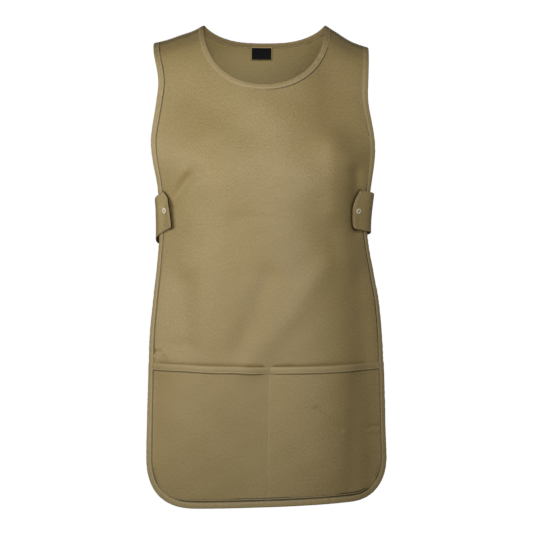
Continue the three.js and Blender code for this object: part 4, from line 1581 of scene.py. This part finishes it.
def pocket_lift(x: Array, z: Array) -> Array:
    """Works out how far the pocket's cloth stands out from the front's.

    Args:
        x: places across.
        z: heights.
    Returns:
        The distance at each place.
    """
    sign = np.where(x < SEAM_X, -1, 1)
    half = np.where(x < SEAM_X, HALF_WIDTH[Side.LEFT](-z), HALF_WIDTH[Side.RIGHT](-z))
    rim = sign * (half - POCKET_FLAT_RIM)
    seam = SEAM_X + sign * POCKET_FLAT_SEAM
    across = np.clip((x - seam) / (rim - seam), 0, 1)
    floor = -FRONT_HEM.drop + FRONT_HEM.tilt * x + POCKET_FLAT_RIM
    up = np.clip((z - floor) / (mouth_height(x) - floor), 0, 1)
    sewn = POCKET_SEAM_LIFT * np.cos(math.pi / 2 * across) * np.minimum(1, up / POCKET_SEAM_RISE)
    folds = sum(fold.rise(x, -z) for fold in POCKET_FOLDS)
    return PLY_STEP + sewn + POCKET_BULGE * np.sin(math.pi * across) * up**POCKET_FILL_POWER + folds


def pocket_points(x: Array, z: Array) -> Array:
    """Points on the middle of the pocket's cloth."""
    return FRONT.points(x, z) + pocket_lift(x, z)[..., None] * FRONT.normals(x, z)


def pocket_normals(x: Array, z: Array, step: float = 1.0) -> Array:
    """Works out the ways out of the pocket's cloth.

    Args:
        x: places across.
        z: heights.
        step: how far each way the slope is measured.
    Returns:
        A vector of length one at each place.
    """
    along = pocket_points(x + step, z) - pocket_points(x - step, z)
    up = pocket_points(x, z + step) - pocket_points(x, z - step)
    return unit(np.cross(along, up))


@dataclass
class Pocket:
    """The wide pocket, sewn down in the middle, and the band over its mouth."""

    edge: Stations
    finishes: Finishes
    needlework: Needlework
    ripples: Ripples
    columns: int = 220
    rows: int = 140
    mouth_samples: int = 800
    band_samples: int = 200
    band_spacing: float = 1.6
    band_clear: float = 0.3  # between the band's ends and the edge tape
    band_aim: float = 12.0  # how far below the mouth the band's way down is taken
    band_crown: float = 0.12
    # how dark the shade painted along the band's lower edge is
    band_shade: float = 0.4
    thread_sunk: float = 0.2  # of the band's threads below its face
    pinch_wide: float = 2.0  # the band's pinch at the middle seam
    pinch_deep: float = 0.5
    # how dark the shade painted on the band's seams at the middle pinch is
    pinch_shade: float = 0.8
    pinch_from: float = 0.1  # what lies higher than this above the cloth is pinched
    ridge_start: float = 20.0  # how far below the start of the corners the hem's ridge starts
    ridge_fade: float = 40.0
    ridge_sunk: float = 0.15  # how far its ends sink into the cloth
    ridge_gap: float = 2.0  # how far from the middle seam the ridge starts to rise
    ridge_rise: float = 7.0  # how far it takes to rise
    ridge_least: float = 0.3  # its share of its height at the middle seam
    stitch_rise: float = 0.1
    seam_points: int = 120
    flat: tuple[float, float] = (0.45, 0.24)  # in metres, as cut
    flat_area: float = 0.09
    cloth: Piece = field(init=False)
    band: Piece = field(init=False)
    band_run: Stations = field(init=False)
    lines: list[Array] = field(init=False)

    def mouth(self, margin: float, count: int) -> Array:
        """Follows the mouth from one side to the other.

        Args:
            margin: how far in from each edge to start and end.
            count: how many places to give.
        Returns:
            Places across and heights, at equal steps along the cloth.
        """
        ends = [side.value * HALF_WIDTH[side](MOUTH_DROP) for side in Side]
        x = np.linspace(*ends, self.mouth_samples)
        along = lengths(pocket_points(x, mouth_height(x)))
        places = np.interp(np.linspace(margin, along[-1] - margin, count), along, x)
        return np.stack([places, mouth_height(places)], -1)

    def build(self) -> None:
        """Makes the pocket's cloth, its band and the ridge of its hem."""
        top = self.mouth(RIM, self.columns + 1)
        top[:, 1] -= RIM
        sides = {}
        for side in Side:
            down = FRONT_EDGE.down(side)
            below = down[-down[:, 1] >= MOUTH_DROP + RIM]
            sides[side] = rim_of(FRONT, below, self.rows + 1, False)
        top[0], top[-1] = sides[Side.LEFT][0], sides[Side.RIGHT][0]
        places = FRONT_EDGE.filled(top, sides)
        x, z = places[..., 0], places[..., 1]
        points = pocket_points(x, z)
        lift = self.ripples.rise(points)
        points = points + lift[..., None] * pocket_normals(x, z)
        piece = mesh_of("pocket_cloth", [Grid(points, FRONT_GRAIN.flat(x, z))])
        self.cloth = thickened(piece, FRONT.facing, self.finishes)
        self.build_band()
        self.build_ridge()

    def build_band(self) -> None:
        """Carries the band along the mouth, pinched at the middle seam, and follows its two seams."""
        width_across = lengths(pocket_points(*self.mouth(0, self.band_samples).T))[-1]
        count = round(width_across / self.band_spacing)
        x, z = self.mouth(EDGE_TAPE_WIDTH + self.band_clear, count).T
        edge = pocket_points(x, z)
        out = pocket_normals(x, z)
        run = Stations(edge, squared(pocket_points(x, z - self.band_aim) - edge, out), out)
        folded = (*TAPE_EDGE[: ON_FACE - 1 : -1], *BAND_FOLDED)
        section, tuck = tape_section(BAND_WIDTH, folded, self.band_crown)
        tuck[len(TAPE_EDGE) :] = 0
        seams = (STITCH_IN, BAND_WIDTH - STITCH_IN)
        on_seam = np.isin(np.round(section[:, 0], 2), np.round(seams, 2))
        pinch = np.exp(-(((x - SEAM_TOP_X) / self.pinch_wide) ** 2))
        # Painted shade: along the band's lower edge, and on its seams where it is pinched at the middle
        deep = np.maximum(self.band_shade * tuck, self.pinch_shade * np.outer(pinch, on_seam))
        lift = self.ripples.along_run(run, section[:, 0])
        lift -= np.outer(self.pinch_deep * pinch, section[:, 1] > HALF_CLOTH + self.pinch_from)
        grid = carried(run, section, lift, deep, False)
        self.band = mesh_of("pocket_band_tape", [grid, *end_caps(grid)])
        waves = self.ripples.along_run(run, seams)
        height = TAPE_FACE - self.thread_sunk
        self.lines = [run.offset(into, height + waves[:, k]) for k, into in enumerate(seams)]
        self.band_run = run

    def build_ridge(self) -> None:
        """Carries the ridge of the pocket's turned-in edge along the hem, beside the tape."""
        run = self.edge.part(*self.hem_part())
        across = np.abs(run.edge[:, 0] - SEAM_X)
        ends = np.minimum(lengths(run.edge), lengths(run.edge[::-1])[::-1])
        shown = rising(ends, 0, self.ridge_fade)
        beside = rising(across, self.ridge_gap, self.ridge_rise)
        swell = shown * (self.ridge_least + (1 - self.ridge_least) * beside)
        ring = np.array(HEM_RIDGE)
        into = EDGE_TAPE_WIDTH - ring[:, 0]
        lift = self.ripples.along_run(run, into) + np.outer(swell - 1, ring[:, 1])
        lift -= self.ridge_sunk * (1 - shown)[:, None]
        section = np.stack([into, HALF_CLOTH + PLY_STEP + ring[:, 1]], -1)
        grid = carried(run, section, lift, np.outer(shown, ring[:, 2]), False)
        roll = mesh_of("pocket_hem_ridge", [grid, *end_caps(grid)])
        work = bmesh.new()
        work.from_mesh(self.cloth.data)
        work.from_mesh(roll.data)
        work.to_mesh(self.cloth.data)
        work.free()
        bpy.data.objects.remove(roll)

    def hem_part(self) -> tuple[int, int]:
        """Finds the outer edge's stations along the front's hem.

        Returns:
            The first of them, and the one after the last.
        """
        low = -self.edge.edge[:, 2] > CORNER_DROP + self.ridge_start
        along_hem = np.flatnonzero(low & (self.edge.edge[:, 1] < 0))
        return int(along_hem[0]), int(along_hem[-1]) + 1

    def dress(self) -> None:
        """Finishes the pocket and sews it."""
        dressed(self.cloth, None, "cloth", "pocket_panel")
        dressed(self.band, self.finishes.tape, "tape", "pocket_band")
        top = -MOUTH_DROP - MOUTH_SAG - BAND_WIDTH
        z = np.linspace(top, -FRONT_HEM.drop + EDGE_TAPE_WIDTH, self.seam_points)
        x = np.linspace(SEAM_TOP_X, SEAM_X, len(z))
        seam = pocket_points(x, z) + (HALF_CLOTH + self.stitch_rise) * pocket_normals(x, z)
        self.needlework.sew("pocket_stitches", [*self.lines, seam], "cloth")


@dataclass(frozen=True)
class StudSizes:
    """Sizes of a press stud: its ring cap, and the hidden part between the tab and the panel."""

    ring: float = 4.75
    hole: float = 2.1
    height: float = 1.4
    ring_points: int = 13
    ring_power: float = 0.8  # below 1 the ring's section is fuller than round
    flange: float = 4.2
    waist: float = 2.5
    flange_thick: float = 0.7
    chamfer: float = 0.3
    clear_tab: float = 0.5
    clear_panel: float = 1.1
    clear_cap: float = 0.5
    turns: int = 40


class TabEndRow(NamedTuple):
    """How far a tab's free end is cut back at a height above its lower edge."""

    up: float
    back: float


TAB_END = (
    TabEndRow(0, 3.2),
    TabEndRow(1, 1.6),
    TabEndRow(2.5, 0.6),
    TabEndRow(5, 0),
    TabEndRow(34, 0),
    TabEndRow(42, 1.4),
    TabEndRow(50, 4),
    TabEndRow(62.5, 10.4),
    TabEndRow(64, 12.5),
)
TAB_CORNER = 5  # the lower corner's rounding ends at this height above the lower edge
TAB_SEAM_IN = 3.2
# Distances in from a tab's sides at which its rounded edge and its seam are drawn
TAB_BORDER = (0, 0.25, 0.6, 1.1, 1.8, 2.5, 2.9, TAB_SEAM_IN, 3.5, 3.9, 4.6)


class TabHang(NamedTuple):
    """How one side's tab hangs.

    Its fall to the back is in degrees. Its reach over the front gets less by its lean for each step up. The
    corner is the lower corner's share of the rounding in the table of the free end.
    """

    fall: float
    reach: float
    lean: float
    lift_end: float
    sag: float
    corner: float


TAB_HANG = {
    Side.LEFT: TabHang(14, 32, 0.2, 9.0, 4.5, 0.35),
    Side.RIGHT: TabHang(5, 38, 0, 5.5, 0, 1.0),
}
TAB_SAG = (0, 0.2, 1, 1.1, 0.5, 0, 0)  # the share of the sag at each mark along the tab
STUD_FROM_EDGE = {Side.LEFT: 19.5, Side.RIGHT: 26.5}


class TabMark(NamedTuple):
    """A point that a tab's line passes through, at each of its heights, and the way out there."""

    points: Array
    out: Array


@dataclass
class SideTab:
    """A tab sewn to the back and snapped to the front, with its press stud."""

    side: Side
    finishes: Finishes
    needlework: Needlework
    width: float = 64.0
    thick: float = 1.6
    drop: float = 307.0
    lift_stud: float = 5.6
    lift_edge: float = 5.4
    lift_back: float = 4.6
    lift_sewn: float = 2.6
    bulge: float = 5.0
    back_reach: float = 44.0
    walk: float = 80.0  # how far in from a panel's edge, and in what steps, distances are measured
    walk_step: float = 0.5
    samples: int = 300
    columns: int = 110
    rows_between: int = 16
    plain_from: float = 6.5  # from a tab's sides to the plain cloth within its border
    edge_round: float = 1.1
    seam_wide: float = 0.6
    seam_deep: float = 0.35
    # how dark the shade painted in the seam's groove is
    seam_shade: float = 0.5
    thread_sunk: float = 0.12
    flat_length: float = 0.16  # in metres, as cut
    stud: StudSizes = field(default_factory=StudSizes)
    cloth: Piece = field(init=False)
    ring: Piece = field(init=False)
    post: Piece = field(init=False)
    lines: list[Array] = field(init=False)

    @property
    def hang(self) -> TabHang:
        """How this side's tab hangs."""
        return TAB_HANG[self.side]

    def reach(self, heights: Array) -> Array:
        """How far the free end lies over the front panel at heights from the tab's middle."""
        return self.hang.reach - self.hang.lean * heights

    def in_from_edge(self, face: Face, z: Array, distance: Array) -> Array:
        """Finds places at distances in from a panel's side edge, along the cloth.

        Args:
            face: the panel's surface.
            z: heights.
            distance: how far in to go at each.
        Returns:
            Places across.
        """
        steps = np.arange(0, self.walk, self.walk_step)
        x = self.side.value * (face.half(self.side, z)[:, None] - steps)
        rows = face.points(x, np.repeat(z[:, None], len(steps), 1))
        return np.array([np.interp(far, lengths(row), at) for far, row, at in zip(distance, rows, x)])

    def mark(self, face: Face, heights: Array, distance: Array, along: Array, lift: float) -> TabMark:
        """Sets a mark on a panel.

        Args:
            face: the panel's surface.
            heights: heights from the tab's middle.
            distance: how far in from the panel's edge at each.
            along: how far along the tab at each, which sets its fall.
            lift: how far out of the panel.
        Returns:
            The mark.
        """
        fall = math.tan(math.radians(self.hang.fall))
        z = -self.drop + heights - fall * (along - self.reach(heights) / 2)
        x = self.in_from_edge(face, z, distance)
        out = face.normals(x, z)
        return TabMark(face.points(x, z) + lift * out, out)

    def marks(self, heights: Array) -> list[TabMark]:
        """Sets the marks along the tab, from its free end to its sewn end.

        Args:
            heights: heights from the tab's middle.
        Returns:
            The marks.
        """
        reach = self.reach(heights)
        none, back = np.zeros_like(reach), np.full_like(reach, self.back_reach)
        drop = np.array(self.drop)
        around = float(FRONT_SOLID.edge[self.side](drop) + BACK.edge[self.side](drop))
        front_edge = self.mark(FRONT_SOLID, heights, none, reach, self.lift_edge)
        back_edge = self.mark(BACK, heights, none, reach + around, self.lift_back)
        aside = np.array([self.side.value, 0.0, 0.0])
        middle = (front_edge.points + back_edge.points) / 2 + self.bulge * aside
        stud = np.full_like(reach, STUD_FROM_EDGE[self.side])
        marks = [
            self.mark(FRONT_SOLID, heights, reach, none, self.hang.lift_end),
            self.mark(FRONT_SOLID, heights, stud, reach - stud, self.lift_stud),
            front_edge,
            TabMark(middle, np.tile(aside, (len(heights), 1))),
            back_edge,
            self.mark(BACK, heights, back / 2, reach + around + back / 2, self.lift_sewn),
            self.mark(BACK, heights, back, reach + around + back, self.lift_sewn),
        ]
        for mark, share in zip(marks, TAB_SAG):
            mark.points[:, 2] -= share * self.hang.sag
        return marks

    def line(self, marks: list[TabMark], row: int) -> tuple[Array, Array, Array]:
        """Draws one line along the tab.

        Args:
            marks: the marks that it passes through.
            row: which of the marks' heights it is for.
        Returns:
            Points along the line, the ways out there, and the distances along.
        """
        places = np.array([mark.points[row] for mark in marks])
        outs = np.array([mark.out[row] for mark in marks])
        steps = np.linalg.norm(np.diff(places, axis=0), axis=1)
        knots = np.concatenate([[0], np.cumsum(steps**0.5)])
        at = np.linspace(0, knots[-1], self.samples)
        points = np.stack([smooth_through(knots, column)(at) for column in places.T], -1)
        along = unit(np.gradient(points, axis=0))
        return points, squared(read_along(at, knots, outs), along), lengths(points)

    def cut_back(self, up: Array) -> Array:
        """Works out how far the free end is cut back.

        Args:
            up: heights above the tab's lower edge.
        Returns:
            The distance at each.
        """
        rows = np.array(TAB_END)
        rows[rows[:, 0] < TAB_CORNER, 1] *= self.hang.corner
        return np.interp(up, rows[:, 0], rows[:, 1])

    def bordered(self, length: float, count: int) -> Array:
        """Spaces places along a length, close together in the border at both ends and even between.

        Args:
            length: the length.
            count: how many places to set between the borders.
        Returns:
            The distance of each.
        """
        border = np.array(TAB_BORDER)
        inside = np.linspace(self.plain_from, length - self.plain_from, count)
        return np.concatenate([border, inside, length - border[::-1]])

    def surface(self) -> tuple[Array, Array, Array]:
        """Lays the tab's middle surface.

        Returns:
            Points, the ways out, and flat coordinates: distances along and up.
        """
        up = self.bordered(self.width, self.rows_between)
        marks = self.marks(up - self.width / 2)
        points, outs, flats = [], [], []
        for row, back in enumerate(self.cut_back(up)):
            line, out, far = self.line(marks, row)
            at = back + self.bordered(far[-1] - back, self.columns - 2 * len(TAB_BORDER))
            points.append(read_along(at, far, line))
            outs.append(unit(read_along(at, far, out)))
            flats.append(np.stack([at, np.full_like(at, up[row])], -1))
        return np.array(points), np.array(outs), np.array(flats)

    def build(self) -> None:
        """Makes the tab's cloth, its seam and the stud."""
        points, out, flat = self.surface()
        border = lengths(flat[0])
        from_end = np.minimum(border, border[-1] - border)[None, :]
        from_side = np.minimum(flat[:, :1, 1], self.width - flat[:, :1, 1])
        away = np.minimum(from_end, from_side)
        rounded = np.sqrt(1 - (1 - np.minimum(1, away / self.edge_round)) ** 2)
        sewn = np.exp(-(((away - TAB_SEAM_IN) / self.seam_wide) ** 2))
        half = (self.thick / 2 * rounded - self.seam_deep * sewn)[..., None]
        # Paints shade in the seam's groove on the outside
        outside = Grid(points + half * out, flat, self.seam_shade * sewn)
        self.cloth = mesh_of(f"{self.side.word}_tab_cloth", [outside, Grid(points - half * out, flat)])
        seam = TAB_BORDER.index(TAB_SEAM_IN)
        top = points + (self.thick / 2 - self.thread_sunk) * out
        within = top[seam : len(top) - seam, seam : top.shape[1] - seam]
        self.lines = [within[0], within[-1], within[:, 0], within[:, -1]]
        self.build_stud()

    def build_stud(self) -> None:
        """Turns the stud's ring and its hidden part about the way out of the tab."""
        sizes = self.stud
        marks = self.marks(np.zeros(1))
        line, out, _ = self.line(marks, 0)
        nearest = np.argmin(np.linalg.norm(line - marks[1].points[0], axis=1))
        place, axis = line[nearest], out[nearest]
        face = self.thick / 2 + sizes.clear_cap
        angle = np.linspace(0, math.tau, sizes.ring_points)
        middle = (sizes.ring + sizes.hole) / 2
        half = (sizes.ring - sizes.hole) / 2
        swell = np.sign(np.sin(angle)) * np.abs(np.sin(angle)) ** sizes.ring_power
        ring = np.stack([middle + half * np.cos(angle), face + sizes.height / 2 * (1 + swell)], -1)
        self.ring = self.turned(f"{self.side.word}_stud_ring", place, axis, ring)
        top = -self.thick / 2 - sizes.clear_tab
        bottom = -self.lift_stud + HALF_CLOTH + sizes.clear_panel
        thick = sizes.flange_thick
        narrow = sizes.flange - sizes.chamfer
        rim = np.array([(narrow, 0), (sizes.flange, thick / 2), (narrow, thick)])
        waist = [(sizes.waist, bottom + thick), (sizes.waist, top - thick)]
        spool = [(0, bottom), *(rim + (0, bottom)), *waist, *(rim + (0, top - thick)), (0, top)]
        self.post = self.turned(f"{self.side.word}_stud_post", place, axis, np.array(spool))

    def turned(self, name: str, place: Array, axis: Array, profile: Array) -> Piece:
        """Turns a piece about an axis.

        Args:
            name: the piece's name.
            place: a point on the axis.
            axis: the way along it.
            profile: radii, and heights above the place.
        Returns:
            The piece.
        """
        first = unit(np.cross(axis, (0.0, 0.0, 1.0)))
        second = np.cross(axis, first)
        angle = np.linspace(0, math.tau, self.stud.turns + 1)
        spokes = np.cos(angle)[:, None] * first + np.sin(angle)[:, None] * second
        points = place + profile[:, :1, None] * spokes[None] + profile[:, 1:, None] * axis
        return mesh_of(name, [Grid(points, np.zeros((*points.shape[:2], 2)))])

    def dress(self) -> None:
        """Finishes the tab and its stud, and sews its border."""
        word = self.side.word
        dressed(self.cloth, self.finishes.cloth, "cloth", f"{word}_tab")
        dressed(self.ring, self.finishes.nickel, "stud", f"{word}_snap_cap")
        dressed(self.post, self.finishes.nickel, "stud", f"{word}_snap_base")
        self.needlework.sew(f"{word}_tab_stitches", self.lines, "cloth")


@dataclass
class NeckLabel:
    """A small bare label inside the back neck."""

    x: float = -5.0
    top: float = 26.8
    width: float = 36.4
    height: float = 22.2
    behind: float = 2.1
    settle: float = 0.7  # how much nearer to the cloth the label's foot lies than its head, over the tape
    settle_from: float = -0.4  # where that starts, in heights below the label's middle
    thick: float = 0.7
    edge_round: float = 0.6
    cells: int = 28
    cloth: Piece = field(init=False)

    def build(self) -> None:
        """Makes the label on the inside of the back."""
        u = np.linspace(-0.5, 0.5, self.cells + 1)
        v = np.linspace(-0.5, 0.5, self.cells // 2 + 1)
        across, up = np.meshgrid(u * self.width, v * self.height)
        x = self.x + across
        z = -self.top - self.height / 2 + up
        out = BACK.normals(x, z)
        nearer = self.settle * rising(-up / self.height, self.settle_from, 1)
        middle = BACK.points(x, z) - (self.behind - nearer)[..., None] * out
        away = np.minimum(self.width / 2 - np.abs(across), self.height / 2 - np.abs(up))
        half = self.thick / 2 * np.sqrt(1 - (1 - np.minimum(1, away / self.edge_round)) ** 2)
        flat = np.stack([across, up], -1)
        grids = [Grid(middle + side * half[..., None] * out, flat) for side in (1, -1)]
        self.cloth = mesh_of("neck_label_cloth", grids)

    def dress(self) -> None:
        """Finishes the label."""
        dressed(self.cloth, LabelFinish(self.width, self.height).material(), "label", "neck_label")


class Lamp(NamedTuple):
    """A soft square light: its place, aim, side and power, and whether it leaves highlights."""

    name: str
    place: tuple[float, float, float]
    aim: tuple[float, float, float]
    side: float
    power: float
    shines: bool


PHOTO_SIDE = 533  # pixels along a side of the photograph


@dataclass
class Studio:
    """A pale floor, soft lights and the camera, in metres."""

    floor_z: float = -1.42
    floor_radius: float = 3.3
    floor_sides: int = 96
    ambient: float = 0.11
    lens: float = 114.6
    sensor: float = 36.0
    camera_place: tuple[float, float, float] = (0.0, -2.8, -0.387)
    shift: tuple[float, float] = (2 / PHOTO_SIDE, -6.5 / PHOTO_SIDE)
    lamps: tuple[Lamp, ...] = (
        Lamp("front", (0.08, -0.94, -0.1), (0.0, -0.12, -0.25), 0.6, 4.95, True),
        Lamp("left", (-0.72, -0.44, -0.21), (-0.14, -0.1, -0.27), 0.48, 2.75, True),
        Lamp("low", (-0.36, -0.9, -0.74), (-0.05, -0.12, -0.7), 0.5, 0.6, True),
        Lamp("behind", (0.9, 2.2, -0.5), (0.0, 0.0, -0.4), 1.2, 44.0, False),
        Lamp("floor", (0.0, 0.0, -0.95), (0.0, 0.0, -1.42), 6.0, 84.0, False),
    )

    def build(self) -> None:
        """Makes the floor, the lights, the surroundings and the camera."""
        mesh = bpy.data.meshes.new("floor")
        work = bmesh.new()
        bmesh.ops.create_circle(work, cap_ends=True, segments=self.floor_sides, radius=self.floor_radius)
        bmesh.ops.translate(work, verts=work.verts, vec=(0, 0, self.floor_z))
        work.to_mesh(mesh)
        work.free()
        mesh.materials.append(PaperFinish().material())
        floor = placed("floor", mesh)
        # The floor is seen but sends no light back to the apron
        floor.visible_diffuse = False
        floor.visible_glossy = False
        for lamp in self.lamps:
            self.light(lamp)
        self.surround()
        self.camera()

    def light(self, lamp: Lamp) -> None:
        """Sets up one soft light, turned to what it faces.

        Args:
            lamp: the light.
        """
        data = bpy.data.lights.new(lamp.name, "AREA")
        data.shape = "SQUARE"
        data.size = lamp.side
        data.energy = lamp.power
        made = placed(lamp.name, data)
        made.visible_camera = False
        made.visible_glossy = lamp.shines
        made.location = lamp.place
        made.rotation_euler = (Vector(lamp.aim) - Vector(lamp.place)).to_track_quat("-Z", "Y").to_euler()

    def surround(self) -> None:
        """Sets white surroundings that light the apron less than they show."""
        world = bpy.data.worlds.new("white_surroundings")
        world.use_nodes = True
        tree = world.node_tree
        tree.nodes.clear()
        white = colour(0xFFFFFF)
        dim = add(tree, "ShaderNodeBackground", {0: white, 1: self.ambient})
        shown = add(tree, "ShaderNodeBackground", {0: white, 1: 1.0})
        seen = add(tree, "ShaderNodeLightPath").outputs["Is Camera Ray"]
        mixed = add(tree, "ShaderNodeMixShader", {0: seen, 1: dim, 2: shown})
        add(tree, "ShaderNodeOutputWorld", {0: mixed})
        bpy.context.scene.world = world
        bpy.context.scene.view_settings.view_transform = "Standard"

    def camera(self) -> None:
        """Sets the camera level in front of the apron, as the photograph has it."""
        data = bpy.data.cameras.new("front")
        data.lens = self.lens
        data.sensor_width = self.sensor
        data.shift_x, data.shift_y = self.shift
        made = placed("front", data)
        made.location = self.camera_place
        made.rotation_euler = (math.radians(90), 0, 0)
        bpy.context.scene.camera = made


class Rise(NamedTuple):
    """Where an even rise starts and how far it runs, across or down."""

    start: float
    run: float


AT_MOUTH = Rise(MOUTH_DROP - 4, 8)
# Where the shade painted beside the tapes changes
NECK_TO_RIGHT = Rise(-45, 90)
ON_LEFT_STRAP = Rise(55, 25)
TO_RIGHT = Rise(0, 60)
BELOW_CHEST = Rise(110, 80)
INTO_HIP = Rise(210, 60)
BELOW_HIP = Rise(480, 80)
INTO_HEM = Rise(CORNER_DROP + 20, 30)


def taped_edges(
    spacing: float = 3.0, ease: int = 4, samples: int = 600
) -> tuple[Stations, Stations, Array]:
    """Follows the apron's two taped edges.

    Args:
        spacing: the distance between stations.
        ease: how many stations each way the runs are softened over.
        samples: how many places the front neck is measured at.
    Returns:
        The outer edge and the neck, each a closed run of stations, and how far the pocket's ply lifts
        the outer edge's tape at each station.
    """
    front = FRONT_EDGE.stations(spacing)
    back = backwards(BACK_EDGE.stations(spacing))
    edge = joined(front, back.part(1, len(back.edge) - 1)).softened(ease)
    necks = []
    for face, places in ((FRONT, front_neck(0, math.pi, samples)), (BACK, back_neck())):
        count = round(lengths(face.points(*places.T))[-1] / spacing)
        necks.append(stations_on(face, spread(face, places, count), True))
    back_run = backwards(necks[1])
    neck = joined(necks[0], back_run.part(1, len(back_run.edge) - 1)).softened(ease)
    is_front = np.arange(len(edge.edge)) < len(front.edge)
    extra = PLY_STEP * rising(-edge.edge[:, 2], *AT_MOUTH) * is_front
    return edge, neck, extra


def neck_shades(neck: Stations) -> tuple[Array, Array]:
    """How dark the painted shade beside the neck's tape and on the tape's fold is, at each station."""
    x, y, _ = neck.edge.T
    return 0.75 * rising(x, *NECK_TO_RIGHT), 0.9 * rising(-x, *ON_LEFT_STRAP) * (y < 0)


def edge_shades(edge: Stations) -> Array:
    """Paints shade beside the outer edge's tape, less on the right chest and more on the hip and hem.

    Args:
        edge: the outer edge's stations.
    Returns:
        How dark the tuck is at each station.
    """
    drop = -edge.edge[:, 2]
    right = rising(edge.edge[:, 0], *TO_RIGHT)
    chest = 1 - rising(drop, *BELOW_CHEST)
    hip = rising(drop, *INTO_HIP) * (1 - rising(drop, *BELOW_HIP))
    return 0.7 - 0.5 * right * chest + 0.3 * rising(drop, *INTO_HEM) + 0.5 * right * hip


def main() -> None:
    """Builds and dresses the apron, then sets up the studio."""
    logging.basicConfig(level=logging.INFO, format="%(name)s %(message)s")
    edge, neck, extra = taped_edges()
    finishes = Finishes()
    needlework = Needlework(finishes.thread)
    ripples = Ripples(joined(edge, neck))
    single = np.zeros(len(neck.edge))
    plain = np.zeros_like(extra)
    shared = (ripples, finishes, needlework)
    tabs = [SideTab(side, finishes, needlework) for side in Side]
    covered = np.concatenate([tab.surface()[0][:, 0] for tab in tabs])
    parts = [
        Panels(finishes, needlework, ripples, covered),
        Binding("neck", neck, NECK_TAPE_WIDTH, single, *neck_shades(neck), *shared),
        Binding("edge", edge, EDGE_TAPE_WIDTH, extra, edge_shades(edge), plain, *shared),
        Pocket(edge, finishes, needlework, ripples),
        *tabs,
        NeckLabel(),
    ]
    for part in parts:
        part.build()
        part.dress()
    Studio().build()


if __name__ == "__main__":
    main()
